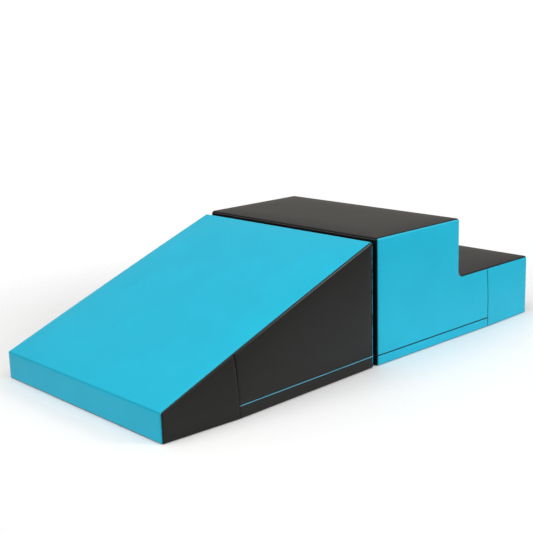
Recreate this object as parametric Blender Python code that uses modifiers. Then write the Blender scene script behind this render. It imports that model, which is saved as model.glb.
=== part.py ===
"""Soft play foam climber: a ramp block and a steps block that stand end to end.

X runs from the ramp's toe to the low end of the steps, Y across and Z up, in metres.
The origin is on the floor, under the middle of the pair. The near side is at -Y.
Each block is a foam core in a sewn cover. The cover's panels share one rounded skin:
an outline in XZ, carried across Y, with its edges rounded to the two side faces.
"""
import math

import bmesh
import bpy
from mathutils import Matrix, Vector

# Blocks
block_width = 0.575
ramp_length = 0.608
ramp_height = 0.297
toe_height = 0.063
steps_length = 0.608
steps_height = 0.300
tread_height = 0.155
platform_length = 0.309

# Rounded edges and cover
edge_radius = 0.007
inner_corner_radius = 0.014
cover_thickness = 0.0012
fit_gap = 0.0003
merge_distance = 0.00001
edge_steps = 3
across_shares = (-1, -0.9, -0.75, -0.4, 0, 0.4, 0.75, 0.9, 1)
flat_across_shares = (-1, 0, 1)
rise_shares = (0.04, 0.125, 0.875, 0.96, 1)
low_rise_count = 2
toe_run_steps = 2
ramp_run_steps = 4
platform_steps = 4
tread_steps = 2

# Seams: how far a panel wraps over the edge to the side face, and the upright side seams
panel_wrap = math.radians(48)
slope_wrap = math.radians(36)
ramp_mating_wrap = math.radians(84)
base_wrap = math.radians(30)
ramp_seam_distance = 0.188
steps_seam_distance = 0.426

# Swell of the panels between their seams. The mating faces are flat but near their seams
slope_crown = 0.004
toe_crown = 0.002
top_crown = 0.003
riser_crown = 0.0015
tread_crown = 0.0025
end_crown = 0.003
mating_crown = 0.0035
mating_flat_share = 0.75
ramp_side_bulge = 0.011
steps_side_bulge = 0.004

# Zip round three sides of each block, close above the floor
ramp_zip_height = 0.0275
steps_zip_height = 0.0245
zip_slot = 0.003
chain_width = 0.0024
chain_sink = 0.0001
chain_thickness = 0.0018
tape_height = 0.0065
tape_thickness = 0.0005
fade_margin = 0.003
stop_length = 0.003
stop_margin = 0.001
stop_edge = 0.00045

# Zip slider and pull
slider_length = 0.009
slider_width = 0.0076
slider_tail_share = 0.72
nose_length_share = 0.25
post_tail_share = 0.5
slider_plate = 0.0008
slider_post_length = 0.006
slider_post_width = 0.0022
crown_length = 0.0068
crown_rise = 0.0033
crown_thickness = 0.0009
crown_width = 0.002
pull_length = 0.023
pull_width = 0.0055
pull_neck_width = 0.005
pull_thickness = 0.001
pull_bar = 0.0011
pull_bar_height = 0.0012
pull_window_length = 0.0039
pull_window_width = 0.0026
pull_hole_radius = 0.0009
weld_overlap = 0.0001
arc_steps = 8
sharp_angle = math.radians(35)

# Hook and loop strips between the blocks
strip_length = 0.400
strip_height = 0.050
strip_thickness = 0.0018
strip_edge = 0.0003
upper_strip_height = 0.215
lower_strip_height = 0.090

# Places that follow from the sizes
block_gap = 2 * (mating_crown + strip_thickness) + 3 * fit_gap
ramp_front = -(ramp_length + block_gap + steps_length) / 2
ramp_back = ramp_front + ramp_length
steps_front = ramp_back + block_gap
steps_back = steps_front + steps_length
riser_x = steps_front + platform_length
under_cover = cover_thickness + fit_gap
slider_back_depth = under_cover + tape_thickness + fit_gap
seam_slack = fit_gap / 2 / edge_radius

TOE, SLOPE, TOP, BACK, DOWN = (
    Vector((-1, 0)),
    Vector((toe_height - ramp_height, ramp_length)).normalized(),
    Vector((0, 1)),
    Vector((1, 0)),
    Vector((0, -1)),
)


class Face:
    """One flat run of a block's outline: its outward normal, its wrap and its swell."""

    def __init__(self, normal, wrap=panel_wrap, crown=0.0, flat_share=0.0):
        self.normal = normal
        self.wrap = wrap
        self.crown = crown
        self.flat_share = flat_share


class Corner:
    """A corner of the outline, rounded inside the foam, or filleted where the outline turns in."""

    def __init__(self, point, before, after):
        self.before = before
        self.after = after
        normal, following = before.normal, after.normal
        self.turn = math.atan2(normal.cross(following), normal.dot(following))
        reach = (normal + following) / (1 + normal.dot(following))
        self.inward = self.turn > 0
        self.centre = Vector(point) + reach * (inner_corner_radius if self.inward else -edge_radius)

    def at(self, share):
        """Inner point, outward normal and wrap at a share of the turn between the two faces."""
        normal = turned(self.before.normal, share * self.turn)
        wrap = self.before.wrap + share * (self.after.wrap - self.before.wrap)
        if self.inward:
            return self.centre - (inner_corner_radius + edge_radius) * normal, normal, wrap
        return self.centre.copy(), normal, wrap

    def slack(self):
        """The share of the turn that leaves half a seam gap on the skin."""
        radius = inner_corner_radius if self.inward else edge_radius
        return fit_gap / 2 / (radius * abs(self.turn))

    def half(self, following, slack=0.0):
        """Samples over the half turn that belongs to the face before, or to the face following."""
        samples = []
        for step in range(edge_steps + 1):
            share = step / (2 * edge_steps)
            if following:
                samples.append(self.at(1 - min(share, 1 / 2 - slack)))
            else:
                samples.append(self.at(min(share, 1 / 2 - slack)))
        return samples[::-1] if following else samples


class Block:
    """What the panels of one block share: its seam, its bulge and the way to its mating face."""

    def __init__(self, name, facing, seam, far_end, mating_end, bulge, bulge_top, zip_height):
        self.name = name
        self.facing = facing
        self.seam = seam
        self.far_end = far_end
        self.mating_end = mating_end
        self.bulge = bulge
        self.bulge_top = bulge_top
        self.zip_height = zip_height
        self.slot_low = zip_height - zip_slot / 2
        self.slot_high = zip_height + zip_slot / 2
        self.bulge_height = self.slot_high + tape_height + fade_margin
        self.inside = Vector(((seam + mating_end) / 2, 0, zip_height))

    def half_width(self, x, z):
        """Half the width between the inner edges of the side faces, which swell out at the seam."""
        end = self.mating_end if (x - self.seam) * self.facing > 0 else self.far_end
        along = (x - end) / (self.seam - end)
        top = self.bulge_top(x)
        rise = 1.0
        if z > self.bulge_height:
            rise = max(0.0, (top - z) / max(top - self.bulge_height, merge_distance))
        return block_width / 2 - edge_radius + self.bulge * along * rise

    def skin(self, inner, normal, latitude, side, depth=0.0):
        """A point of the rounded skin, from a face of the outline (0) to the side face (90)."""
        reach = edge_radius - depth
        place = inner + reach * math.cos(latitude) * normal
        across = self.half_width(inner.x, inner.y) + reach * math.sin(latitude)
        return Vector((place.x, side * across, place.y))


def turned(direction, angle):
    """A direction in XZ turned by an angle."""
    x = direction.x * math.cos(angle) - direction.y * math.sin(angle)
    z = direction.x * math.sin(angle) + direction.y * math.cos(angle)
    return Vector((x, z))


def spaced(start, end, steps):
    """Even values from start to end, both included."""
    return [start + (end - start) * step / steps for step in range(steps + 1)]


def between(values, low, high):
    """The values that lie between two limits, with the limits as the ends."""
    kept = [value for value in values if low + merge_distance < value < high - merge_distance]
    return [low] + kept + [high]


def is_flat(points):
    """Whether a quad's last point lies in the plane of its first three."""
    normal = (points[1] - points[0]).cross(points[2] - points[0]).normalized()
    return abs(normal.dot(points[3] - points[0])) < merge_distance


def add_grid(bm, rows):
    """Fill between rows of points. Twisted quads are split alike in every layer, so layers nest."""
    verts = [[bm.verts.new(point) for point in row] for row in rows]
    for lower, upper in zip(verts, verts[1:]):
        for index in range(len(lower) - 1):
            quad = (lower[index], lower[index + 1], upper[index + 1], upper[index])
            if is_flat([vert.co for vert in quad]):
                bm.faces.new(quad)
            else:
                bm.faces.new(quad[:3])
                bm.faces.new((quad[0], quad[2], quad[3]))


def trimmed(full, step, slack):
    """An angle at a step on the way to a seam, where the last step leaves room for the seam gap."""
    return full * step / edge_steps - (slack if step == edge_steps else 0)


def swell(share, flat_share):
    """How far a panel swells, from 0 at its ends to 1 over its middle, which can be flat."""
    return max(0.0, 1 - (max(0.0, abs(share) - flat_share) / (1 - flat_share)) ** 2)


def add_band(bm, block, samples, shares, depth=0.0, slack=0.0):
    """Carry a run of the outline across the block, over both edges as far as its seams."""
    rows = []
    for inner, normal, wrap, crown, flat_share in samples:
        latitudes = [trimmed(wrap, step, slack) for step in range(1, edge_steps + 1)]
        row = [block.skin(inner, normal, latitude, -1, depth) for latitude in latitudes[::-1]]
        half = block.half_width(inner.x, inner.y)
        for share in shares:
            place = inner + (edge_radius - depth + crown * swell(share, flat_share)) * normal
            row.append(Vector((place.x, share * half, place.y)))
        row += [block.skin(inner, normal, latitude, 1, depth) for latitude in latitudes]
        rows.append(row)
    add_grid(bm, rows)


def add_sheet(bm, block, side, lines, depth=0.0):
    """Fill part of a side face between lines of inner points."""
    rows = []
    for line in lines:
        rows.append([block.skin(inner, TOP, math.pi / 2, side, depth) for inner in line])
    add_grid(bm, rows)


def add_rim(bm, block, side, samples, depth=0.0, slack=0.0):
    """Round a side face over towards a face of the outline, as far as the seam."""
    rows = []
    for step in range(edge_steps + 1):
        row = []
        for inner, normal, wrap in samples:
            fall = trimmed(math.pi / 2 - wrap, step, slack)
            row.append(block.skin(inner, normal, math.pi / 2 - fall, side, depth))
        rows.append(row)
    add_grid(bm, rows)


def add_cap(bm, block, side, corner, depth=0.0, slack=0.0):
    """Close a side face's rounded corner, between the rims of the two faces that meet there."""
    rows = []
    for first in range(edge_steps + 1):
        row = []
        for second in range(edge_steps + 1):
            reach = max(first, second)
            if reach == 0:
                share = 0.0
            elif first >= second:
                share = second / reach / 2
            else:
                share = 1 - first / reach / 2
            inner, normal, wrap = corner.at(share)
            fall = trimmed(math.pi / 2 - wrap, reach, slack)
            row.append(block.skin(inner, normal, math.pi / 2 - fall, side, depth))
        rows.append(row)
    add_grid(bm, rows)


def run(points, face, ends=None):
    """Band samples along the flat part of a face, which swells between its ends."""
    first, last = ends or (points[0], points[-1])
    way = last - first
    samples = []
    for point in points:
        share = 2 * (point - first).dot(way) / way.length_squared - 1
        crown = face.crown * swell(share, face.flat_share)
        samples.append((point, face.normal, face.wrap, crown, face.flat_share))
    return samples


def plain(samples):
    """Band samples without a swell."""
    return [(inner, normal, wrap, 0.0, 0.0) for inner, normal, wrap in samples]


def edge(points, face):
    """Rim samples along the flat part of a face."""
    return [(point, face.normal, face.wrap) for point in points]


def upright(x, heights):
    """Inner points at one X and several heights."""
    return [Vector((x, height)) for height in heights]


def level(places, z):
    """Inner points at several places along X and one height."""
    return [Vector((x, z)) for x in places]


def zip_path(block, height, depth, start):
    """Points round three sides of a block at one height, from one side seam to the other."""
    reach = edge_radius - depth
    half = block.half_width(block.mating_end, height)
    bends = [(math.pi / 2 - panel_wrap) * step / edge_steps for step in range(edge_steps)]
    bends += [math.pi / 2 - panel_wrap * (1 - step / edge_steps) for step in range(edge_steps + 1)]
    near = [Vector((start[0], -block.half_width(start[0], height) - reach, height))]
    for bend in bends:
        x = block.mating_end + block.facing * reach * math.sin(bend)
        near.append(Vector((x, -half - reach * math.cos(bend), height)))
    far = [Vector((start[1], block.half_width(start[1], height) + reach, height))]
    for bend in bends:
        x = block.mating_end + block.facing * reach * math.sin(bend)
        far.append(Vector((x, half + reach * math.cos(bend), height)))
    return near + far[::-1]


def add_strip(bm, block, low, high, depth, start):
    """Add an upright strip that follows the zip's path at one depth under the skin."""
    add_grid(bm, [zip_path(block, low, depth, start), zip_path(block, high, depth, start)])


def face_outwards(bm, inside):
    """Turn an open skin's faces away from a point inside the block."""
    bmesh.ops.remove_doubles(bm, verts=bm.verts, dist=merge_distance)
    bmesh.ops.recalc_face_normals(bm, faces=bm.faces)
    facing = sum(f.normal.dot(f.calc_center_median() - inside) * f.calc_area() for f in bm.faces)
    if facing < 0:
        bmesh.ops.reverse_faces(bm, faces=bm.faces)


def new_collection(name):
    collection = bpy.data.collections.new(name)
    bpy.context.scene.collection.children.link(collection)
    return collection


def new_material(name, colour, roughness, metallic=0.0):
    """A Principled material, with its colour given as it looks, from 0 to 255."""
    material = bpy.data.materials.new(name)
    material.use_nodes = True
    shader = material.node_tree.nodes["Principled BSDF"]
    linear = []
    for value in colour:
        value /= 255
        linear.append(value / 12.92 if value <= 0.04045 else ((value + 0.055) / 1.055) ** 2.4)
    shader.inputs["Base Color"].default_value = (*linear, 1)
    shader.inputs["Roughness"].default_value = roughness
    shader.inputs["Metallic"].default_value = metallic
    material.diffuse_color = (*linear, 1)
    return material


def new_object(name, mesh, material, collection):
    """Put a mesh in the scene under a name, with its material."""
    mesh.name = name
    mesh.materials.clear()
    if material:
        mesh.materials.append(material)
    part = bpy.data.objects.new(name, mesh)
    collection.objects.link(part)
    return part


def mesh_from(bm):
    mesh = bpy.data.meshes.new("mesh")
    bm.to_mesh(mesh)
    bm.free()
    return mesh


def shell_mesh(block, lay, depth, thickness):
    """A closed shell between a skin and the same skin laid deeper, joined round its open edges."""
    deeper = bmesh.new()
    lay(deeper, depth + thickness)
    inner_points = [vert.co.copy() for vert in deeper.verts]
    deeper.free()

    shell = bmesh.new()
    lay(shell, depth)
    number = shell.verts.layers.int.new("number")
    for index, vert in enumerate(shell.verts):
        vert[number] = index
    face_outwards(shell, block.inside)
    outer_faces = [list(face.verts) for face in shell.faces]
    open_edges = []
    for rim in shell.edges:
        if rim.is_boundary:
            loop = rim.link_loops[0]
            open_edges.append((loop.vert, loop.link_loop_next.vert))
    below = {}
    for vert in list(shell.verts):
        below[vert] = shell.verts.new(inner_points[vert[number]])
    for verts in outer_faces:
        shell.faces.new([below[vert] for vert in reversed(verts)])
    for first, second in open_edges:
        shell.faces.new([second, first, below[first], below[second]])
    return mesh_from(shell)


def new_panel(name, block, lay, material, collection, depth=0.0, thickness=cover_thickness):
    """A flexible piece that follows the block's skin at a depth, shaded smooth."""
    mesh = shell_mesh(block, lay, depth, thickness)
    mesh.shade_smooth()
    return new_object(f"{block.name}_{name}", mesh, material, collection)


def box_mesh(size, centre=(0, 0, 0)):
    bm = bmesh.new()
    bmesh.ops.create_cube(bm, size=1, matrix=Matrix.Translation(centre) @ Matrix.Diagonal((*size, 1)))
    return mesh_from(bm)


def smooth_but_edges(mesh):
    """Shade a round piece smooth and keep its sharp edges."""
    mesh.shade_smooth()
    mesh.set_sharp_from_angle(angle=sharp_angle)


def outline_mesh(loops, thickness, upright_plane):
    """A flat outline, with its holes, thickened about its own plane: XZ where upright, else XY."""
    curve = bpy.data.curves.new("outline", "CURVE")
    curve.dimensions = "2D"
    curve.fill_mode = "BOTH"
    curve.extrude = thickness / 2
    for loop in loops:
        spline = curve.splines.new("POLY")
        spline.points.add(len(loop) - 1)
        for point, (x, y) in zip(spline.points, loop):
            point.co = (x, y, 0, 1)
        spline.use_cyclic_u = True
    holder = bpy.data.objects.new("outline", curve)
    bpy.context.scene.collection.objects.link(holder)
    view = bpy.context.evaluated_depsgraph_get()
    mesh = bpy.data.meshes.new_from_object(holder.evaluated_get(view))
    bpy.data.objects.remove(holder)
    bm = bmesh.new()
    bm.from_mesh(mesh)
    bmesh.ops.remove_doubles(bm, verts=bm.verts, dist=merge_distance)
    bmesh.ops.recalc_face_normals(bm, faces=bm.faces)
    bm.to_mesh(mesh)
    bm.free()
    if upright_plane:
        mesh.transform(Matrix.Rotation(math.pi / 2, 4, "X"))
    smooth_but_edges(mesh)
    return mesh


def combine(part, other, operation, solver="EXACT"):
    """Join another object to a part, or cut it out of the part."""
    other.hide_render = True
    other.display_type = "WIRE"
    change = part.modifiers.new(operation.lower(), "BOOLEAN")
    change.operation = operation
    change.object = other
    change.solver = solver


def keep_place(child, parent):
    """Parent a part to an object and leave it where it is."""
    child.parent = parent
    child.matrix_parent_inverse = parent.matrix_world.inverted()


def new_joint(name, place):
    """An empty that marks a joint, with its parts under it."""
    empty = bpy.data.objects.new(name, None)
    empty.location = place
    empty.empty_display_size = edge_radius
    bpy.context.scene.collection.objects.link(empty)
    bpy.context.view_layer.update()
    return empty


def lay_side(bm, block, side, sheets, rims, caps, depth, slack=0.0):
    """Lay part of a side face: its flat sheets, the rims round them and the caps between rims."""
    for lines in sheets:
        add_sheet(bm, block, side, lines, depth)
    for samples in rims:
        add_rim(bm, block, side, samples, depth, slack)
    for corner in caps:
        add_cap(bm, block, side, corner, depth, slack)


def new_side(name, block, side, shape, material, collection):
    """A side panel, laid from its sheets, rims and caps."""
    def lay(bm, depth):
        lay_side(bm, block, side, *shape, depth, seam_slack)

    new_panel(f"{'near' if side < 0 else 'far'}_{name}", block, lay, material, collection)


def new_band(name, block, samples, shares, material, collection):
    """A panel of the band that runs round a block, from one side seam to the other."""
    def lay(bm, depth):
        add_band(bm, block, samples, shares, depth, seam_slack)

    new_panel(name, block, lay, material, collection)


def leaving(corner):
    """The half turn from a seam on a corner to the face that follows it."""
    return plain(corner.half(True, corner.slack()))[:-1]


def reaching(corner):
    """The half turn from a face to the seam on the corner at its end."""
    return plain(corner.half(False, corner.slack()))[1:]


def over(corner):
    """The whole turn of a corner, without a seam."""
    return plain(corner.half(False))[1:] + plain(corner.half(True))[1:]


def up_to(block, base, top):
    """Heights from a base line to a top, close where a mating face starts and ends its swell."""
    fade = min(block.bulge_height, (base + top) / 2)
    return [base, fade] + [fade + share * (top - fade) for share in rise_shares]


def mating_ends(block, top):
    """The inner points between which a mating face swells, over its zip."""
    return Vector((block.mating_end, block.bulge_height)), Vector((block.mating_end, top))


def uprights(block, places, base, top_of):
    """Upright lines of inner points on a side, from a base line to its top at each place."""
    return [upright(x, up_to(block, base, top_of(x))) for x in places]


def ramp_outline():
    """The ramp's faces and corners."""
    faces = {
        "toe": Face(TOE, crown=toe_crown),
        "slope": Face(SLOPE, slope_wrap, slope_crown),
        "back": Face(BACK, ramp_mating_wrap, mating_crown, mating_flat_share),
        "base": Face(DOWN, wrap=base_wrap),
    }
    corners = {
        "base_toe": Corner((ramp_front, 0), faces["base"], faces["toe"]),
        "toe_slope": Corner((ramp_front, toe_height), faces["toe"], faces["slope"]),
        "slope_back": Corner((ramp_back, ramp_height), faces["slope"], faces["back"]),
        "back_base": Corner((ramp_back, 0), faces["back"], faces["base"]),
    }
    return faces, corners


def slope_line(x):
    """Height of the inner line under the ramp's slope."""
    low, high = ramp_corners["toe_slope"].centre, ramp_corners["slope_back"].centre
    return low.y + (high.y - low.y) * (x - low.x) / (high.x - low.x)


def sloped(places):
    """Inner points under the slope."""
    return [Vector((x, slope_line(x))) for x in places]


def make_ramp_cover(block, blue, black, grip, collection):
    """The ramp's sewn panels."""
    faces, corners = ramp_faces, ramp_corners
    toe_x, back_x = block.far_end, block.mating_end
    toe_heights = up_to(block, edge_radius, slope_line(toe_x))
    back_heights = up_to(block, block.slot_high, slope_line(back_x))
    columns = ramp_columns(block)

    slope = leaving(corners["toe_slope"]) + run(sloped(columns), faces["slope"])
    slope += reaching(corners["slope_back"])
    new_band("slope_panel", block, slope, across_shares, blue, collection)
    toe = leaving(corners["base_toe"]) + run(upright(toe_x, toe_heights), faces["toe"])
    toe += reaching(corners["toe_slope"])
    new_band("toe_panel", block, toe, across_shares, blue, collection)
    ends = mating_ends(block, slope_line(back_x))
    mating = leaving(corners["slope_back"]) + run(upright(back_x, back_heights[::-1]), faces["back"], ends)
    new_band("mating_panel", block, mating, across_shares, blue, collection)
    hem_heights = [edge_radius, block.slot_low]
    hem = run(upright(back_x, hem_heights[::-1]), faces["back"], ends)
    hem += reaching(corners["back_base"])
    new_band("mating_hem", block, hem, flat_across_shares, blue, collection)
    base = leaving(corners["back_base"])
    base += run(level([back_x, block.seam, toe_x], edge_radius), faces["base"])
    base += reaching(corners["base_toe"])
    new_band("base_panel", block, base, flat_across_shares, grip, collection)

    front = between(columns, toe_x, block.seam - fit_gap / 2)
    front_shape = (
        [uprights(block, front, edge_radius, slope_line)],
        [
            edge(upright(toe_x, toe_heights), faces["toe"]),
            edge(level(front, edge_radius), faces["base"]),
            edge(sloped(front), faces["slope"]),
        ],
        [corners["base_toe"], corners["toe_slope"]],
    )
    rear = between(columns, block.seam + fit_gap / 2, back_x)
    rear_shape = (
        [uprights(block, rear, block.slot_high, slope_line)],
        [edge(upright(back_x, back_heights), faces["back"]), edge(sloped(rear), faces["slope"])],
        [corners["slope_back"]],
    )
    hem_ends = [rear[0], back_x]
    hem_shape = (
        [[upright(x, hem_heights) for x in hem_ends]],
        [
            edge(upright(back_x, hem_heights), faces["back"]),
            edge(level(hem_ends, edge_radius), faces["base"]),
        ],
        [corners["back_base"]],
    )
    for side in (-1, 1):
        new_side("front_side", block, side, front_shape, black, collection)
        new_side("rear_side", block, side, rear_shape, black, collection)
        new_side("side_hem", block, side, hem_shape, black, collection)


def ramp_columns(block):
    """Places along the ramp where its slope, sides and foam have points."""
    toe_run = spaced(block.far_end, block.seam, toe_run_steps)
    return toe_run[:-1] + spaced(block.seam, block.mating_end, ramp_run_steps)


def lay_ramp_core(block):
    """The ramp foam's whole skin."""
    faces, corners = ramp_faces, ramp_corners
    toe_x, back_x = block.far_end, block.mating_end
    toe_heights = up_to(block, edge_radius, slope_line(toe_x))
    back_heights = up_to(block, edge_radius, slope_line(back_x))
    columns = ramp_columns(block)
    floor_line, roof_line = level(columns, edge_radius), sloped(columns)
    samples = run(roof_line, faces["slope"]) + over(corners["slope_back"])
    ends = mating_ends(block, slope_line(back_x))
    samples += run(upright(back_x, back_heights[::-1]), faces["back"], ends)[1:]
    samples += over(corners["back_base"])
    samples += run(floor_line[::-1], faces["base"])[1:] + over(corners["base_toe"])
    samples += run(upright(toe_x, toe_heights), faces["toe"])[1:] + over(corners["toe_slope"])
    rims = [
        edge(upright(toe_x, toe_heights), faces["toe"]),
        edge(upright(back_x, back_heights), faces["back"]),
        edge(floor_line, faces["base"]),
        edge(roof_line, faces["slope"]),
    ]
    bm = bmesh.new()
    add_band(bm, block, samples, across_shares, under_cover)
    for side in (-1, 1):
        sheets = [uprights(block, columns, edge_radius, slope_line)]
        lay_side(bm, block, side, sheets, rims, corners.values(), under_cover)
    return bm


def tread_line(x):
    """Height of the inner line under the steps' tread, the same at every place."""
    return tread_height - edge_radius


def steps_outline():
    """The steps' faces and corners."""
    faces = {
        "front": Face(TOE, crown=mating_crown, flat_share=mating_flat_share),
        "top": Face(TOP, crown=top_crown),
        "riser": Face(BACK, crown=riser_crown),
        "tread": Face(TOP, crown=tread_crown),
        "end": Face(BACK, crown=end_crown),
        "base": Face(DOWN, wrap=base_wrap),
    }
    corners = {
        "base_front": Corner((steps_front, 0), faces["base"], faces["front"]),
        "front_top": Corner((steps_front, steps_height), faces["front"], faces["top"]),
        "top_riser": Corner((riser_x, steps_height), faces["top"], faces["riser"]),
        "fold": Corner((riser_x, tread_height), faces["riser"], faces["tread"]),
        "tread_end": Corner((steps_back, tread_height), faces["tread"], faces["end"]),
        "end_base": Corner((steps_back, 0), faces["end"], faces["base"]),
    }
    return faces, corners


class StepsLines:
    """Inner points of the steps' faces. The side has a low part and a tall part over the fold."""

    def __init__(self, block):
        corners = steps_corners
        fold = corners["fold"]
        front_x, back_x = block.mating_end, block.far_end
        self.roof = corners["front_top"].centre.y
        self.tread = corners["tread_end"].centre.y
        fold_up = [sample[0] for sample in fold.half(False)][::-1]
        fold_down = [sample[0] for sample in fold.half(True)]
        middle = fold_up[0]
        low, rise = block.bulge_height, self.roof - block.bulge_height
        swell_heights = [low + share * rise for share in rise_shares]
        self.low_heights = [low] + swell_heights[:low_rise_count]
        self.riser = upright(fold_up[-1].x, [fold_up[-1].y] + swell_heights[low_rise_count:])
        places = spaced(fold_down[-1].x, block.seam, tread_steps)[:-1]
        places += spaced(block.seam, back_x, tread_steps)
        self.tread_line = level(places, self.tread)
        self.platform_shares = spaced(0, 1, platform_steps)
        self.top = self.row_under(Vector((front_x, self.roof)), self.riser[-1])
        self.low_tops = self.row_under(Vector((front_x, middle.y)), middle)
        self.low_tops += fold_down[1:] + self.tread_line[1:]
        self.columns = [point.x for point in self.low_tops]
        self.tall_right = fold_up + self.riser[1:]
        self.tall_left = upright(front_x, [point.y for point in self.tall_right])
        self.end_heights = self.low_line(edge_radius, self.tread)
        self.fold_height = middle.y

    def low_line(self, base, top):
        """Heights of the low part, from a base line to its top."""
        return [base] + self.low_heights + [top]

    def row_under(self, left, right):
        """Inner points under the platform, from its mating end to its riser end."""
        return [left.lerp(right, share) for share in self.platform_shares]

    def front_heights(self, base):
        """Heights up the mating face from a base line."""
        return self.low_line(base, self.fold_height) + [point.y for point in self.tall_left[1:]]

    def tall_side(self):
        """Sheets, rims and caps of the tall part."""
        corners = steps_corners
        sheet = [self.row_under(*ends) for ends in zip(self.tall_left, self.tall_right)]
        rims = [
            edge(self.top, steps_faces["top"]),
            edge(self.riser, steps_faces["riser"]),
            corners["fold"].half(False),
            corners["fold"].half(True),
        ]
        return [sheet], rims, [corners["front_top"], corners["top_riser"]]


def make_steps_cover(block, blue, black, grip, collection):
    """The steps' sewn panels."""
    faces, corners = steps_faces, steps_corners
    lines = StepsLines(block)
    front_x, back_x = block.mating_end, block.far_end
    front_heights = lines.front_heights(block.slot_high)
    end_line = upright(back_x, lines.end_heights)

    ends = mating_ends(block, lines.roof)
    mating = run(upright(front_x, front_heights), faces["front"], ends) + reaching(corners["front_top"])
    new_band("mating_panel", block, mating, across_shares, black, collection)
    hem_heights = [edge_radius, block.slot_low]
    hem = leaving(corners["base_front"]) + run(upright(front_x, hem_heights), faces["front"], ends)
    new_band("mating_hem", block, hem, flat_across_shares, black, collection)
    top = leaving(corners["front_top"]) + run(lines.top, faces["top"]) + reaching(corners["top_riser"])
    new_band("top_panel", block, top, across_shares, black, collection)
    riser = leaving(corners["top_riser"]) + run(lines.riser[::-1], faces["riser"])
    riser += reaching(corners["fold"])
    new_band("riser_panel", block, riser, across_shares, black, collection)
    tread = leaving(corners["fold"]) + run(lines.tread_line, faces["tread"])
    tread += reaching(corners["tread_end"])
    new_band("tread_panel", block, tread, across_shares, black, collection)
    end = leaving(corners["tread_end"]) + run(end_line[::-1], faces["end"])
    end += reaching(corners["end_base"])
    new_band("end_panel", block, end, across_shares, black, collection)
    base = leaving(corners["end_base"])
    base += run(level([back_x, block.seam, front_x], edge_radius), faces["base"])
    base += reaching(corners["base_front"])
    new_band("base_panel", block, base, flat_across_shares, grip, collection)

    seam_end = block.seam - fit_gap / 2
    low_tops = [point for point in lines.low_tops if point.x < seam_end - merge_distance]
    low_tops.append(Vector((seam_end, lines.tread)))
    tread_part = [point for point in lines.tread_line if point.x < seam_end - merge_distance]
    tread_part.append(low_tops[-1])
    sheets, rims, caps = lines.tall_side()
    sheets.append([upright(point.x, lines.low_line(block.slot_high, point.y)) for point in low_tops])
    rims += [edge(upright(front_x, front_heights), faces["front"]), edge(tread_part, faces["tread"])]

    outer = between(lines.columns, block.seam + fit_gap / 2, back_x)
    outer_shape = (
        [[upright(x, lines.end_heights) for x in outer]],
        [
            edge(level(outer, lines.tread), faces["tread"]),
            edge(end_line, faces["end"]),
            edge(level(outer, edge_radius), faces["base"]),
        ],
        [corners["tread_end"], corners["end_base"]],
    )
    hem_ends = [front_x, seam_end]
    hem_shape = (
        [[upright(x, hem_heights) for x in hem_ends]],
        [
            edge(upright(front_x, hem_heights), faces["front"]),
            edge(level(hem_ends, edge_radius), faces["base"]),
        ],
        [corners["base_front"]],
    )
    for side in (-1, 1):
        new_side("side", block, side, (sheets, rims, caps), blue, collection)
        new_side("outer_side", block, side, outer_shape, blue, collection)
        new_side("side_hem", block, side, hem_shape, blue, collection)


def lay_steps_core(block):
    """The steps foam's whole skin."""
    faces, corners = steps_faces, steps_corners
    lines = StepsLines(block)
    front = upright(block.mating_end, lines.front_heights(edge_radius))
    end_line = upright(block.far_end, lines.end_heights)
    floor_line = level(lines.columns, edge_radius)
    samples = run(front, faces["front"], mating_ends(block, lines.roof))
    samples += over(corners["front_top"])
    samples += run(lines.top, faces["top"])[1:] + over(corners["top_riser"])
    samples += run(lines.riser[::-1], faces["riser"])[1:] + over(corners["fold"])
    samples += run(lines.tread_line, faces["tread"])[1:] + over(corners["tread_end"])
    samples += run(end_line[::-1], faces["end"])[1:] + over(corners["end_base"])
    samples += run(floor_line[::-1], faces["base"])[1:] + over(corners["base_front"])
    sheets, rims, caps = lines.tall_side()
    sheets.append([upright(point.x, lines.low_line(edge_radius, point.y)) for point in lines.low_tops])
    rims += [
        edge(front, faces["front"]),
        edge(lines.tread_line, faces["tread"]),
        edge(end_line, faces["end"]),
        edge(floor_line, faces["base"]),
    ]
    caps += [corners["tread_end"], corners["end_base"], corners["base_front"]]
    bm = bmesh.new()
    add_band(bm, block, samples, across_shares, under_cover)
    for side in (-1, 1):
        lay_side(bm, block, side, sheets, rims, caps, under_cover)
    return bm


def make_core(block, skin, foam, collection, cutters):
    """The foam, with the shallow bed that the zip's tapes lie in and the channel of its slider."""
    face_outwards(skin, block.inside)
    core = new_object(f"{block.name}_foam_core", mesh_from(skin), foam, collection)
    bed_low = block.slot_low - tape_height - fit_gap
    bed_high = block.slot_high + tape_height + fit_gap
    start = block.seam - block.facing * fit_gap

    def lay(bm, depth):
        add_strip(bm, block, bed_low, bed_high, depth, (start, start))

    bed = new_panel("tape_bed", block, lay, None, cutters, fit_gap, slider_back_depth - fit_gap)
    combine(core, bed, "DIFFERENCE", "MANIFOLD")

    length = abs(block.mating_end - block.seam) - stop_margin - stop_length
    floor = slider_back_depth + slider_plate + fit_gap
    size = (length, floor - under_cover, slider_width + 2 * fit_gap)
    channel = new_object(f"{block.name}_slider_channel", box_mesh(size), None, cutters)
    channel.location = on_run(block, stop_margin + stop_length + length / 2)
    channel.location.y -= (floor + under_cover) / 2
    channel.rotation_euler.z = run_angle(block)
    combine(core, channel, "DIFFERENCE", "MANIFOLD")


def run_angle(block):
    """How far the zip's straight run on the far side is turned, because the side bulges."""
    return math.atan2(-block.bulge * block.facing, abs(block.mating_end - block.seam))


def on_run(block, distance, side=1):
    """A point on the skin over the zip's straight run, at a distance from the side seam."""
    x = block.seam + block.facing * distance
    height = block.zip_height
    return Vector((x, side * (block.half_width(x, height) + edge_radius), height))


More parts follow.
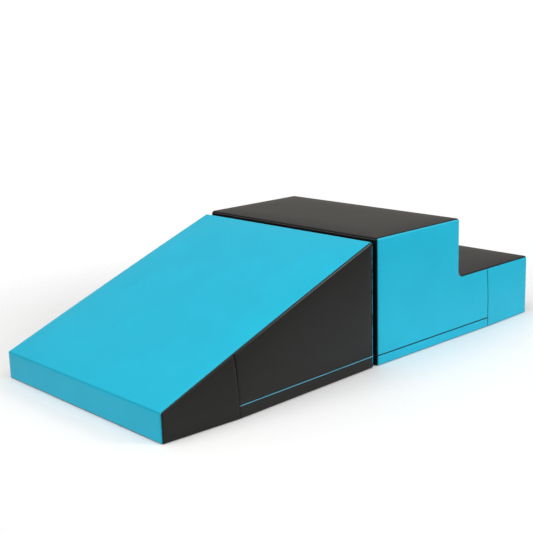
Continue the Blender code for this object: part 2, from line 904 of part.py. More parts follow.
def make_zip(block, cloth, metal, collection, cutters, parent):
    """Tapes, closed chain, end stops, slider and pull of one block's zip."""
    stop_middle = stop_margin + stop_length / 2
    slider_middle = stop_margin + stop_length + fit_gap + slider_length / 2
    near_start = stop_margin + stop_length + fit_gap
    far_start = slider_middle + slider_length / 2 + fit_gap
    pieces = []

    half_chain = chain_width / 2
    tape = ((0, 0), under_cover, tape_thickness)
    chain = ((near_start, far_start), chain_sink, chain_thickness)
    strips = (
        ("upper_tape", block.slot_high, block.slot_high + tape_height, *tape),
        ("lower_tape", block.slot_low - tape_height, block.slot_low, *tape),
        ("chain", block.zip_height - half_chain, block.zip_height + half_chain, *chain),
    )
    for name, low, high, distances, depth, thickness in strips:
        ends = [block.seam + block.facing * distance for distance in distances]

        def lay(bm, level_depth):
            add_strip(bm, block, low, high, level_depth, ends)

        pieces.append(new_panel(f"zip_{name}", block, lay, cloth, collection, depth, thickness))

    for side, side_name in ((-1, "near"), (1, "far")):
        stop = new_object(
            f"{block.name}_zip_{side_name}_stop",
            box_mesh((stop_length, chain_thickness, chain_width)),
            metal,
            collection,
        )
        stop.location = on_run(block, stop_middle, side)
        stop.location.y -= side * (chain_sink + chain_thickness / 2)
        stop.rotation_euler.z = side * run_angle(block)
        soften(stop, stop_edge)
        pieces.append(stop)

    for piece in pieces:
        if parent:
            keep_place(piece, parent)
    slider = make_slider(block, slider_middle, metal, collection, cutters)
    if parent:
        keep_place(slider, parent)
    bpy.context.view_layer.update()
    make_pull(block, slider, metal, collection)


def soften(part, width):
    """Round a rigid piece's edges."""
    bevel = part.modifiers.new("edges", "BEVEL")
    bevel.width = width
    bevel.segments = 1


def shield(length, width, tail_width, facing):
    """An outline that is wide at the end where the chain opens and narrower behind."""
    half, tail = width / 2, tail_width / 2
    reach = length * nose_length_share
    points = []
    for step in range(arc_steps + 1):
        angle = -math.pi / 2 + math.pi * step / arc_steps
        nose = length / 2 - reach + reach * math.cos(angle)
        points.append((-facing * nose, half * math.sin(angle)))
    points += [(facing * length / 2, tail), (facing * length / 2, -tail)]
    return points


def bow(length, rise):
    """Half an ellipse over a base line, from one foot to the other."""
    points = []
    for step in range(arc_steps + 1):
        angle = math.pi * step / arc_steps
        points.append((length / 2 * math.cos(angle), rise * math.sin(angle)))
    return points


def make_slider(block, distance, metal, collection, cutters):
    """A slider: two plates either side of the tapes, the post between them and the pull's crown."""
    front = fit_gap
    back = -slider_back_depth
    tail = slider_width * slider_tail_share
    plate = shield(slider_length, slider_width, tail, block.facing)
    post_tail = slider_post_width * post_tail_share
    post = shield(slider_post_length, slider_post_width, post_tail, block.facing)

    body = outline_mesh([plate], slider_plate, True)
    body.transform(Matrix.Translation((0, front + slider_plate / 2, 0)))
    slider = new_object(f"{block.name}_zip_slider", body, metal, collection)

    rear = outline_mesh([plate], slider_plate, True)
    rear.transform(Matrix.Translation((0, back - slider_plate / 2, 0)))
    post_depth = front - back + 2 * weld_overlap
    middle = outline_mesh([post], post_depth, True)
    middle.transform(Matrix.Translation((0, (front + back) / 2, 0)))
    inner_length = crown_length - 2 * crown_thickness
    arch = [(crown_length / 2, -weld_overlap)] + bow(crown_length, crown_rise)
    arch += [(-crown_length / 2, -weld_overlap), (-inner_length / 2, -weld_overlap)]
    arch += bow(inner_length, crown_rise - crown_thickness)[::-1] + [(inner_length / 2, -weld_overlap)]
    crown = outline_mesh([arch], crown_width, False)
    crown.transform(Matrix.Translation((0, front + slider_plate, 0)))

    for name, mesh in (("rear_plate", rear), ("post", middle), ("crown", crown)):
        piece = new_object(f"{block.name}_slider_{name}", mesh, None, cutters)
        piece.parent = slider
        combine(slider, piece, "UNION")
    slider.location = on_run(block, distance)
    slider.rotation_euler.z = run_angle(block)
    return slider


def make_pull(block, slider, metal, collection):
    """The pull: a tab whose end bar turns under the slider's crown."""
    half_bar = pull_bar / 2
    neck = pull_neck_width / 2
    shoulder = half_bar + pull_window_length + pull_bar
    tip = pull_length - pull_width / 2
    outer = [(-half_bar, -neck), (shoulder, -neck), (shoulder + pull_bar, -pull_width / 2)]
    for step in range(arc_steps + 1):
        angle = -math.pi / 2 + math.pi * step / arc_steps
        outer.append((tip + pull_width / 2 * math.cos(angle), pull_width / 2 * math.sin(angle)))
    outer += [(shoulder + pull_bar, pull_width / 2), (shoulder, neck), (-half_bar, neck)]
    window = [
        (half_bar, -pull_window_width / 2),
        (half_bar + pull_window_length, -pull_window_width / 2),
        (half_bar + pull_window_length, pull_window_width / 2),
        (half_bar, pull_window_width / 2),
    ]
    hole = []
    for step in range(arc_steps):
        angle = 2 * math.pi * step / arc_steps
        hole.append((tip + pull_hole_radius * math.cos(angle), pull_hole_radius * math.sin(angle)))
    loops = [[(block.facing * x, y) for x, y in loop] for loop in (outer, window, hole)]
    pull = new_object(
        f"{block.name}_zip_pull", outline_mesh(loops, pull_thickness, True), metal, collection
    )
    pull.parent = slider
    pull.location = (0, fit_gap + slider_plate + pull_bar_height, 0)


def make_strips(name, x, material, collection, parent):
    """Two flat strips of hook or loop tape on a mating face."""
    strips = []
    for place, height in (("upper", upper_strip_height), ("lower", lower_strip_height)):
        mesh = box_mesh((strip_thickness, strip_length, strip_height))
        strip = new_object(f"{name}_{place}", mesh, material, collection)
        strip.location = (x, 0, height)
        soften(strip, strip_edge)
        if parent:
            keep_place(strip, parent)
        strips.append(strip)
    return strips


def main():
    for item in list(bpy.data.objects):
        bpy.data.objects.remove(item)
    climber = new_collection("foam_climber")
    cutters = new_collection("cutters")

    blue = new_material("blue_leather", (47, 186, 216), 0.5)
    black = new_material("black_leather", (46, 46, 48), 0.48)
    grip = new_material("grip_fabric", (34, 34, 36), 0.85)
    foam = new_material("foam", (226, 219, 196), 0.95)
    blue_tape = new_material("blue_zip", (30, 160, 196), 0.7)
    black_tape = new_material("black_zip", (30, 31, 33), 0.7)
    metal = new_material("zip_metal", (58, 59, 62), 0.35, 0.9)
    hook = new_material("hook_tape", (24, 24, 26), 0.9)

    ramp = Block(
        "ramp",
        1,
        ramp_front + ramp_seam_distance,
        ramp_front + edge_radius,
        ramp_back - edge_radius,
        ramp_side_bulge,
        slope_line,
        ramp_zip_height,
    )
    steps = Block(
        "steps",
        -1,
        steps_front + steps_seam_distance,
        steps_back - edge_radius,
        steps_front + edge_radius,
        steps_side_bulge,
        tread_line,
        steps_zip_height,
    )
    make_ramp_cover(ramp, blue, black, grip, climber)
    make_steps_cover(steps, blue, black, grip, climber)
    make_core(ramp, lay_ramp_core(ramp), foam, climber, cutters)
    make_core(steps, lay_steps_core(steps), foam, climber, cutters)

    ramp_joint = new_joint("ramp_joint", (ramp_back, 0, ramp_height / 2))
    for part in list(climber.objects):
        if part.name.startswith("ramp_"):
            keep_place(part, ramp_joint)
    make_zip(ramp, blue_tape, metal, climber, cutters, ramp_joint)
    make_zip(steps, black_tape, metal, climber, cutters, None)
    hook_x = ramp_back + mating_crown + fit_gap + strip_thickness / 2
    loop_x = steps_front - mating_crown - fit_gap - strip_thickness / 2
    make_strips("ramp_hook_strip", hook_x, hook, climber, ramp_joint)
    make_strips("steps_loop_strip", loop_x, hook, climber, None)


ramp_faces, ramp_corners = ramp_outline()
steps_faces, steps_corners = steps_outline()
main()
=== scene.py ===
"""The looks of a soft play foam climber: a ramp block and a steps block, end to end.

X runs from the ramp's toe to the low end of the steps, Y across and Z up, in metres.
The near side is at -Y. Each block is foam in a sewn cover of synthetic leather.
"""

import math
from collections import namedtuple

import bmesh
import bpy
import numpy as np
from mathutils import Color, Matrix, Vector, noise
from mathutils.bvhtree import BVHTree
from mathutils.kdtree import KDTree
from mathutils.interpolate import poly_3d_calc


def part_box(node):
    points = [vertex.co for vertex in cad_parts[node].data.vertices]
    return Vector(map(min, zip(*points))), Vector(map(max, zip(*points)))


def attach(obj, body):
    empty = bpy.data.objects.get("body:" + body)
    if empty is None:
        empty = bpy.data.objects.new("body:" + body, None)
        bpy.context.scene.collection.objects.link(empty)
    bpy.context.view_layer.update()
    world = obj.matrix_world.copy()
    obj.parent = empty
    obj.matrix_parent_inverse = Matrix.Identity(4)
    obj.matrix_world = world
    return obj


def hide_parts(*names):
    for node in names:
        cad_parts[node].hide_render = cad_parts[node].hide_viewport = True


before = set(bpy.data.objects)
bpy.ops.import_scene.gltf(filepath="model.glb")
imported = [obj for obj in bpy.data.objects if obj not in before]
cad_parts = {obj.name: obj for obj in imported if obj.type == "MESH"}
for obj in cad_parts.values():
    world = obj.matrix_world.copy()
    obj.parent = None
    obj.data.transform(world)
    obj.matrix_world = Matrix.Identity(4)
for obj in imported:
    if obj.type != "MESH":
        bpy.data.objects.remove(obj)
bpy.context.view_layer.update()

# Blocks
block_width = 0.575
ramp_length = 0.608
ramp_height = 0.297
toe_height = 0.063
steps_length = 0.608
steps_height = 0.300
tread_height = 0.155
platform_length = 0.309
block_gap = 0.0115

# Cover
edge_radius = 0.007
inner_corner_radius = 0.014
settled_power = 0.45
cover_thickness = 0.0012
seam_gap = 0.0002
panel_wrap = math.radians(48)
slope_wrap = math.radians(36)
top_wrap = math.radians(32)
ramp_mating_wrap = math.radians(84)
base_wrap = math.radians(30)
ramp_seam_distance = 0.188
steps_seam_distance = 0.426
ramp_side_bulge = 0.011
steps_side_bulge = 0.004
slope_arch = 0.002

# Zip
ramp_zip_height = 0.0275
steps_zip_height = 0.0245
zip_slot = 0.003
chain_width = 0.0024
chain_depth = 0.0011
chain_backing = 0.0006
tape_height = 0.0065
tape_depth = 0.0015
tape_thickness = 0.0005
fade_margin = 0.003
chain_starts = (0.0043, 0.0136)

# Mating faces
mating_crown = 0.0035
mating_flat_share = 0.75

# Swell of the padding, as a cloth that is pressed out from inside
cloth_settings = {
    "quality": 5,
    "mass": 0.4,
    "tension_stiffness": 40,
    "compression_stiffness": 40,
    "shear_stiffness": 20,
    "bending_stiffness": 5,
    "use_pressure": True,
    "uniform_pressure_force": 4.0,
    "vertex_group_mass": "held",
}
swell_frames = 20
top_swell_cap = 0.004
side_swell_cap = 0.0015
held_bend = math.radians(3)
side_lean = 0.7
underside_lean = 0.5
padding_depth = 0.0022
zip_relief = 0.002
zip_relief_reach = 0.012

# Creases of the cover
seam_dip = 0.0007
seam_dip_reach = 0.0016
draw_in = 0.0005
draw_in_reach = 0.008
pucker_size = 0.00035
pucker_reach = 0.005
pucker_length = 0.007
wave_size = 0.0006
wave_fade = 0.03
wave_length = 0.13
least_share = 0.02
# A soft seam is drawn in less, and its painted seam shade is narrower.
soft_toe_seam = 0.15
soft_joint_seam = 0.12
soft_base_seam = 0.2
zip_calm = 0.010
zip_calm_fade = 0.040

# Teeth of the zip's coil
zip_run_step = 0.004
zip_bend_steps = 6
coil_pitch = 0.0016
tooth_depth = 0.00055
tooth_radius = 0.00036
tooth_head = 0.00044
tooth_thin = 0.0002
tooth_lead = 0.00022
tooth_heel_share = 0.7
tooth_head_share = 0.3
tooth_tip_share = 0.5

# Leather: its patterns, its wear, the painted shade in its seams, and the seam distances, upward parts and
# heights at which its painted highlight sets in
grain_scale = 620.0
grain_smoothness = 0.6
crease_scale = 260.0
crease_detail = 4.0
crease_height = 0.6
crease_roughness = 0.12
mottle_scale = 9.0
mottle_detail = 3.0
mottle_tone = 0.08
rubbed_reach = 0.006
rubbed_roughness = -0.18
seam_shade = 0.12
seam_shade_reach = 0.0026
painted_highlight_clear_of_seam = (0.0014, 0.0026)
painted_highlight_near_edge = (0.0055, 0.0028)
painted_highlight_facing_up = (0.15, 0.6)
painted_highlight_not_flat = (0.86, 0.7)
painted_highlight_high_up = (0.14, 0.24)

# Finish of the leather and of the other materials
leather_specular = 0.26
relief_depth = 0.0002
fuzz_scale = 1800.0
fuzz_tone = 0.3
fuzz_roughness = 0.15
least_thread_tone = 0.55
speck_detail = 3.0
slow_tone_scale = 90.0
uneven_roughness = 0.2

# Stitches in the seams
thread_radius = 0.0002
stitch_length = 0.0019
stitch_lean = 0.00035
stitch_pitch = 0.0032
stitch_least_size = 0.9
stitch_turn = math.radians(6)
stitch_seed = 7

# Hooks and loops on the strips
strip_ground = 0.0007
strip_steps = 4
pile_pitch = 0.0034
pile_radius = 0.0002
pile_rise = 0.0009
pile_shank = 0.7 * pile_rise
hook_tip = 0.8 * pile_rise
pile_least_size = 0.8
pile_turn = math.radians(60)
hook_seed = 11
loop_seed = 21

# How close the points of the cover lie
seam_point_step = 0.0004
seam_step = 0.0007
seam_step_growth = 1.5
run_step = 0.0032
across_step = 0.008
body_step = 0.016
arc_shares = (0, 0.22, 0.43, 0.62, 0.78, 0.9, 0.97, 1)
body_arc_shares = (0, 0.5, 1)
merge_distance = 0.00001

# Floor, light and camera
floor_fade = (0.65, 1.15)
floor_drop = 0.0005
floor_steps = 8
floor_colour = (246, 246, 246)
floor_roughness = 0.6
world_strength = 0.49
dim_strength = 0.08
dim_reach = (0.6, 0.93)
wall_reach = (-0.7, -0.88)
wall_tint = (1.25, 1.16, 1.05, 1)
white = (1, 1, 1, 1)
film_width = 36
photo_size = 533
camera_focus = 1016.4
camera_angles = (42.7524, 13.145, -1.7318)
camera_place = (-1.6818, -1.7479, 0.7609)

ramp_front = -(ramp_length + block_gap + steps_length) / 2
ramp_back = ramp_front + ramp_length
steps_front = ramp_back + block_gap
steps_back = steps_front + steps_length
riser_x = steps_front + platform_length
TOE, TOP, BACK, DOWN = Vector((-1, 0)), Vector((0, 1)), Vector((1, 0)), Vector((0, -1))
SLOPE = Vector((toe_height - ramp_height, ramp_length)).normalized()

scene = bpy.context.scene
looks = bpy.data.collections.new("foam_climber_looks")
scene.collection.children.link(looks)

# One flat run of a block's outline: its outward normal in XZ and how far its panel wraps round
Face = namedtuple("Face", "normal wrap")


def turned(direction, angle):
    """A direction in XZ turned by an angle."""
    x = direction.x * math.cos(angle) - direction.y * math.sin(angle)
    z = direction.x * math.sin(angle) + direction.y * math.cos(angle)
    return Vector((x, z))


def settled(x, y, z):
    """An outward direction, where the block's weight presses its lower edges square."""
    flat = math.hypot(x, y)
    if z >= 0 or flat < merge_distance:
        return x, y, z
    wide = flat ** settled_power / flat
    return x * wide, y * wide, -(-z) ** settled_power


class Corner:
    """A rounded corner of the outline, or a filleted one where the outline turns in."""

    def __init__(self, point, before, after):
        self.before, self.after = before, after
        normal, following = before.normal, after.normal
        self.turn = math.atan2(normal.cross(following), normal.dot(following))
        self.inward = self.turn > 0
        self.radius = inner_corner_radius if self.inward else edge_radius
        reach = (normal + following) / (1 + normal.dot(following))
        self.centre = Vector(point) + reach * (self.radius if self.inward else -self.radius)

    def at(self, share):
        """Inner point, outward normal and wrap at a share of the turn between the two faces."""
        normal = turned(self.before.normal, share * self.turn)
        wrap = self.before.wrap + share * (self.after.wrap - self.before.wrap)
        if self.inward:
            return self.centre - (inner_corner_radius + edge_radius) * normal, normal, wrap
        return self.centre.copy(), normal, wrap

    def half(self, following, shares, slack=0.0):
        """Samples over the half turn that belongs to the face before, or to the face following."""
        most = 1 / 2 - slack / (self.radius * abs(self.turn))
        samples = [self.at(1 - most * share if following else most * share) for share in shares]
        return samples[::-1] if following else samples

    def over(self, net):
        """The whole turn, without a seam."""
        return self.half(False, net.shares)[1:] + self.half(True, net.shares)[1:]


class Block:
    """A block's outline, from its low X over the top and back along the base, and its skin."""

    def __init__(self, name, facing, faces, points, roof, seam, bulge, zip_height):
        self.name, self.facing, self.faces, self.roof = name, facing, faces, roof
        self.seam, self.bulge, self.zip_height = seam, bulge, zip_height
        self.corners, self.before, self.after = {}, {}, {}
        names = list(faces)
        for last, face, point in zip(names[-1:] + names, names, points):
            corner = Corner(point, faces[last], faces[face])
            self.corners[f"{last}_{face}"] = self.after[last] = self.before[face] = corner
        self.low_end, self.high_end = min(points)[0] + edge_radius, max(points)[0] - edge_radius
        ends = (self.low_end, self.high_end)
        self.far_end, self.mating_end = ends if facing > 0 else ends[::-1]
        self.mating_top = max(self.before["mating"].centre.y, self.after["mating"].centre.y)
        self.slot_low = zip_height - zip_slot / 2
        self.slot_high = zip_height + zip_slot / 2
        self.bulge_height = self.slot_high + tape_height + fade_margin
        self.inside = Vector(((seam + self.mating_end) / 2, 0, zip_height))

    def half_width(self, x, z):
        """Half the width between the inner edges of the side faces, which swell at the seam."""
        end = self.mating_end if (x - self.seam) * self.facing > 0 else self.far_end
        along = (x - end) / (self.seam - end)
        top = self.roof(x)
        rise = 1.0
        if z > self.bulge_height:
            rise = max(0.0, (top - z) / max(top - self.bulge_height, merge_distance))
        return block_width / 2 - edge_radius + self.bulge * along * rise

    def skin(self, inner, normal, latitude, side, depth=0.0):
        """A point of the rounded skin, from a face of the outline (0) to the side face (90)."""
        reach = edge_radius - depth
        along = math.cos(latitude)
        x, y, z = settled(normal.x * along, math.sin(latitude), normal.y * along)
        across = self.half_width(inner.x, inner.y) + reach * y
        return Vector((inner.x + reach * x, side * across, inner.y + reach * z))

    def rim(self, sample, share, side, net):
        """A point on the way from the side face (0) over its edge to the seam (1)."""
        inner, normal, wrap = sample
        return self.skin(inner, normal, math.pi / 2 - net.fall(math.pi / 2 - wrap, share), side)

    def flat(self, inner, normal, share, depth=0.0):
        """A point of the band between its edges, at a share of the way out to one of them."""
        reach = edge_radius - depth
        x, _, z = settled(normal.x, 0, normal.y)
        half = self.half_width(inner.x, inner.y)
        return Vector((inner.x + reach * x, share * half, inner.y + reach * z))

    def edge(self, face, points):
        """Samples along the flat part of a face: point, normal and wrap."""
        return [(point, *self.faces[face]) for point in points]

    def panel(self, face, points, net, first=True, last=True):
        """Samples over a face, carried on at one or both ends to the seam on its corner."""
        samples = self.before[face].half(True, net.shares, seam_gap / 2)[:-1] if first else []
        samples += self.edge(face, points)
        return samples + (self.after[face].half(False, net.shares, seam_gap / 2)[1:] if last else [])

    def around(self, runs, net, closed=False):
        """Samples along faces that follow each other, and over the corners between them."""
        samples = []
        for face, points in runs:
            flat = self.edge(face, points)
            samples += self.before[face].over(net) + flat[1:] if samples else flat
        return samples + (self.before[runs[0][0]].over(net) if closed else [])

    def side_shape(self, columns, rims, caps):
        """A side piece: its sheets of upright lines, its rims along faces and its rounded caps."""
        return [columns], [self.edge(*rim) for rim in rims], [self.corners[cap] for cap in caps]

    def base_panel(self):
        """Samples over the base, with a line of points under the upright seams."""
        points = level(split_lines(self.high_end, self.seam, self.low_end, plain_net.run), edge_radius)
        return self.panel("base", points, plain_net)


def lines(start, end, step, close_start=False, close_end=False):
    """Places from start to end, at most a step apart, and closer towards a seam."""
    climb = []
    rise = seam_step
    while rise < step:
        climb.append(rise)
        rise *= seam_step_growth
    head = climb if close_start else []
    tail = climb[::-1] if close_end else []
    length = abs(end - start)
    middle = length - sum(head) - sum(tail)
    if middle < step:
        head, tail, middle = [], [], length
    count = max(1, math.ceil(middle / step))
    way = 1 if end > start else -1
    places = [start]
    for size in head + [middle / count] * count + tail:
        places.append(places[-1] + way * size)
    places[-1] = end
    return places


def split_lines(start, middle, end, step):
    """Places from start to end, one of them in the middle."""
    return lines(start, middle, step)[:-1] + lines(middle, end, step)


class Net:
    """How fine a skin is laid: its steps along and across, and its shares over rounded edges."""

    def __init__(self, run, across, shares, slack):
        self.run, self.across, self.shares = run, across, shares
        self.slack = slack / edge_radius

    def fall(self, full, share):
        """An angle on the way to a seam, where the last one leaves room for the seam gap."""
        return full * share - (self.slack if share == 1 else 0)


fine_net = Net(run_step, across_step, arc_shares, seam_gap / 2)
plain_net = Net(across_step, across_step * 2, arc_shares, seam_gap / 2)
body_net = Net(body_step, body_step, body_arc_shares, 0.0)


def add_grid(bm, rows):
    """Fill between rows of points."""
    verts = [[bm.verts.new(point) for point in row] for row in rows]
    for lower, upper in zip(verts, verts[1:]):
        for index in range(len(lower) - 1):
            bm.faces.new((lower[index], lower[index + 1], upper[index + 1], upper[index]))


def add_band(bm, block, samples, net):
    """Carry a run of the outline across the block, over both edges as far as its seams."""
    half_flat = block_width / 2 - edge_radius
    shares = [place / half_flat for place in lines(-half_flat, half_flat, net.across)]
    rows = []
    for inner, normal, wrap in samples:
        latitudes = [net.fall(wrap, share) for share in net.shares[1:]]
        row = [block.skin(inner, normal, latitude, -1) for latitude in latitudes[::-1]]
        row += [block.flat(inner, normal, share) for share in shares]
        row += [block.skin(inner, normal, latitude, 1) for latitude in latitudes]
        rows.append(row)
    add_grid(bm, rows)


def add_rim(bm, block, side, samples, net):
    """Round a side face over towards a face of the outline, as far as the seam."""
    add_grid(bm, [[block.rim(sample, share, side, net) for sample in samples] for share in net.shares])


def add_cap(bm, block, side, corner, net):
    """Close a side face's rounded corner, between the rims of the two faces that meet there."""
    rows = []
    count = len(net.shares)
    for first in range(count):
        row = []
        for second in range(count):
            reach = max(first, second)
            if reach == 0:
                share = 0.0
            elif first >= second:
                share = second / reach / 2
            else:
                share = 1 - first / reach / 2
            row.append(block.rim(corner.at(share), net.shares[reach], side, net))
        rows.append(row)
    add_grid(bm, rows)


def lay_side(bm, block, side, shape, net):
    """Lay part of a side face: its flat sheets, the rims round them and the caps between rims."""
    sheets, rims, caps = shape
    for columns in sheets:
        add_grid(bm, [[block.skin(inner, TOP, math.pi / 2, side) for inner in line] for line in columns])
    for samples in rims:
        add_rim(bm, block, side, samples, net)
    for corner in caps:
        add_cap(bm, block, side, corner, net)


def upright(x, heights):
    return [Vector((x, height)) for height in heights]


def level(places, z):
    return [Vector((x, z)) for x in places]


def sloped(places):
    return [Vector((x, slope_line(x))) for x in places]


def slope_line(x):
    """Height of the inner line under the ramp's slope, which is arched a little."""
    low, high = ramp.corners["toe_slope"].centre, ramp.corners["slope_mating"].centre
    share = (x - low.x) / (high.x - low.x)
    return low.y + (high.y - low.y) * share + slope_arch * 4 * share * (1 - share)


def tread_line(x):
    """Height of the inner line under the steps' tread."""
    return tread_height - edge_radius


ramp = Block(
    "ramp", 1,
    {
        "toe": Face(TOE, panel_wrap),
        "slope": Face(SLOPE, slope_wrap),
        "mating": Face(BACK, ramp_mating_wrap),
        "base": Face(DOWN, base_wrap),
    },
    [(ramp_front, 0), (ramp_front, toe_height), (ramp_back, ramp_height), (ramp_back, 0)],
    slope_line, ramp_front + ramp_seam_distance, ramp_side_bulge, ramp_zip_height,
)
steps = Block(
    "steps", -1,
    {
        "mating": Face(TOE, panel_wrap),
        "top": Face(TOP, top_wrap),
        "riser": Face(BACK, panel_wrap),
        "tread": Face(TOP, panel_wrap),
        "end": Face(BACK, panel_wrap),
        "base": Face(DOWN, base_wrap),
    },
    [
        (steps_front, 0), (steps_front, steps_height), (riser_x, steps_height),
        (riser_x, tread_height), (steps_back, tread_height), (steps_back, 0),
    ],
    tread_line, steps_front + steps_seam_distance, steps_side_bulge, steps_zip_height,
)


def uprights(tops, base, highest, step, close_start=False):
    """Upright lines of inner points on a side, from a base line to each of its tops."""
    shares = [(place - base) / (highest - base) for place in lines(base, highest, step, close_start)]
    return [upright(top.x, [base + share * (top.y - base) for share in shares]) for top in tops]


def bottoms(columns):
    return [column[0] for column in columns]


def tops(columns):
    return [column[-1] for column in columns]


def hem_columns(block, places):
    """Upright lines of a side strip between the base and the zip."""
    heights = lines(edge_radius, block.slot_low, run_step, False, True)
    return [upright(x, heights) for x in places]


def ramp_panels():
    """The ramp's cover: each band with its face, points and ends, and each side piece's shape."""
    low_end, seam, high_end = ramp.low_end, ramp.seam, ramp.high_end
    front_places = lines(low_end, seam - seam_gap / 2, run_step, False, True)
    front = uprights(sloped(front_places), edge_radius, slope_line(seam), run_step)
    rear_places = lines(seam + seam_gap / 2, high_end, run_step, True)
    rear = uprights(sloped(rear_places), ramp.slot_high, ramp.mating_top, run_step, True)
    hem = hem_columns(ramp, rear_places)
    bands = (
        ("slope_panel", "slope", sloped(lines(low_end, high_end, run_step))),
        ("toe_panel", "toe", front[0]),
        ("mating_panel", "mating", rear[-1][::-1], True, False),
        ("mating_hem", "mating", hem[-1][::-1], False, True),
    )
    front_rims = (("toe", front[0]), ("base", bottoms(front)), ("slope", tops(front)))
    rear_rims = (("mating", rear[-1]), ("slope", tops(rear)))
    hem_rims = (("mating", hem[-1]), ("base", bottoms(hem)))
    return bands, {
        "front_side": ramp.side_shape(front, front_rims, ("base_toe", "toe_slope")),
        "rear_side": ramp.side_shape(rear, rear_rims, ("slope_mating",)),
        "side_hem": ramp.side_shape(hem, hem_rims, ("mating_base",)),
    }


def ramp_body(net):
    """The samples of the ramp's closed band, and the shape of its whole side."""
    slope = sloped(split_lines(ramp.low_end, ramp.seam, ramp.high_end, net.run))
    columns = uprights(slope, edge_radius, ramp.mating_top, net.run)
    toe, mating, base = columns[0], columns[-1], bottoms(columns)
    band = (("slope", slope), ("mating", mating[::-1]), ("base", base[::-1]), ("toe", toe))
    rims = (("toe", toe), ("mating", mating), ("base", base), ("slope", slope))
    return ramp.around(band, net, True), ramp.side_shape(columns, rims, ramp.corners)


class StepsLines:
    """Inner points of the steps' faces. The side has a low part and a tall part over the fold."""

    def __init__(self, net):
        self.net = net
        self.folds = [steps.corners["riser_tread"].half(following, net.shares) for following in (False, True)]
        fold_up, self.fold_down = ([sample[0] for sample in samples] for samples in self.folds)
        fold_up.reverse()
        self.middle = fold_up[0]
        self.tread = steps.corners["tread_end"].centre.y
        self.riser = upright(fold_up[-1].x, lines(fold_up[-1].y, steps.mating_top, net.run))
        front, riser = steps.mating_end, self.riser[0].x
        top_places = lines(front, riser, net.run)
        self.platform_shares = [(x - front) / (riser - front) for x in top_places]
        self.top = level(top_places, steps.mating_top)
        self.tall_right = fold_up + self.riser[1:]
        self.tall_left = upright(front, [point.y for point in self.tall_right])

    def row_under(self, left, right):
        """Inner points under the platform, from its mating end to its riser end."""
        return [left.lerp(right, share) for share in self.platform_shares]

    def low_columns(self, base, tread, close_start=False):
        """Upright lines of the low part, from the mating end to the end of the tread's points."""
        low_tops = self.row_under(Vector((steps.mating_end, self.middle.y)), self.middle)
        low_tops += self.fold_down[1:] + tread[1:]
        return uprights(low_tops, base, self.middle.y, self.net.run, close_start)

    def side_shape(self, columns, runs, caps):
        """The tall part over low columns, with the rims and caps of both."""
        sheet = [self.row_under(*ends) for ends in zip(self.tall_left, self.tall_right)]
        rims = [steps.edge("top", self.top), steps.edge("riser", self.riser), *self.folds]
        rims += [steps.edge(*run) for run in runs]
        return [sheet, columns], rims, [steps.corners[cap] for cap in ("mating_top", "top_riser", *caps)]


def steps_panels():
    """The steps' cover: each band with its face, points and ends, and each side piece's shape."""
    outline = StepsLines(fine_net)
    low_end, seam, high_end = steps.low_end, steps.seam, steps.high_end
    fold_end = outline.fold_down[-1].x
    inner_tread = level(lines(fold_end, seam - seam_gap / 2, run_step, False, True), outline.tread)
    columns = outline.low_columns(steps.slot_high, inner_tread, True)
    mating = columns[0] + outline.tall_left[1:]
    outer_heights = lines(edge_radius, outline.tread, run_step)
    outer = [upright(x, outer_heights) for x in lines(seam + seam_gap / 2, high_end, run_step, True)]
    hem = hem_columns(steps, lines(low_end, seam - seam_gap / 2, run_step, False, True))
    bands = (
        ("mating_panel", "mating", mating, False, True),
        ("mating_hem", "mating", hem[0], True, False),
        ("top_panel", "top", outline.top),
        ("riser_panel", "riser", outline.riser[::-1]),
        ("tread_panel", "tread", level(lines(fold_end, high_end, run_step), outline.tread)),
        ("end_panel", "end", outer[-1][::-1]),
    )
    outer_rims = (("tread", tops(outer)), ("end", outer[-1]), ("base", bottoms(outer)))
    hem_rims = (("mating", hem[0]), ("base", bottoms(hem)))
    return bands, {
        "side": outline.side_shape(columns, (("mating", mating), ("tread", inner_tread)), ()),
        "outer_side": steps.side_shape(outer, outer_rims, ("tread_end", "end_base")),
        "side_hem": steps.side_shape(hem, hem_rims, ("base_mating",)),
    }


def steps_body(net):
    """The samples of the steps' closed band, and the shape of its whole side."""
    outline = StepsLines(net)
    tread = level(split_lines(outline.fold_down[-1].x, steps.seam, steps.high_end, net.run), outline.tread)
    columns = outline.low_columns(edge_radius, tread)
    mating, end, base = columns[0] + outline.tall_left[1:], columns[-1], bottoms(columns)
    band = (
        ("mating", mating), ("top", outline.top), ("riser", outline.riser[::-1]), ("tread", tread),
        ("end", end[::-1]), ("base", base[::-1]),
    )
    rims = (("mating", mating), ("tread", tread), ("end", end), ("base", base))
    shape = outline.side_shape(columns, rims, ("tread_end", "end_base", "base_mating"))
    return steps.around(band, net, True), shape


def face_outwards(bm, inside):
    """Merge the patches of a skin and turn its faces away from a point inside the block."""
    bmesh.ops.remove_doubles(bm, verts=bm.verts, dist=merge_distance)
    bmesh.ops.recalc_face_normals(bm, faces=bm.faces)
    facing = sum(f.normal.dot(f.calc_center_median() - inside) * f.calc_area() for f in bm.faces)
    if facing < 0:
        bmesh.ops.reverse_faces(bm, faces=bm.faces)
    bm.normal_update()


def mesh_from(bm, name):
    mesh = bpy.data.meshes.new(name)
    bm.to_mesh(mesh)
    bm.free()
    return mesh


def coordinates(mesh):
    points = np.empty(len(mesh.vertices) * 3)
    mesh.vertices.foreach_get("co", points)
    return points.reshape(-1, 3)


def set_coordinates(mesh, points):
    mesh.vertices.foreach_set("co", np.ascontiguousarray(points).ravel())
    mesh.update()


def add_object(name, data):
    """A new object in the scene, for the floor, a lamp, the camera or work on a mesh."""
    item = bpy.data.objects.new(name, data)
    scene.collection.objects.link(item)
    return item


def changed_mesh(item):
    """An object's mesh as its modifiers leave it."""
    return bpy.data.meshes.new_from_object(item.evaluated_get(bpy.context.evaluated_depsgraph_get()))


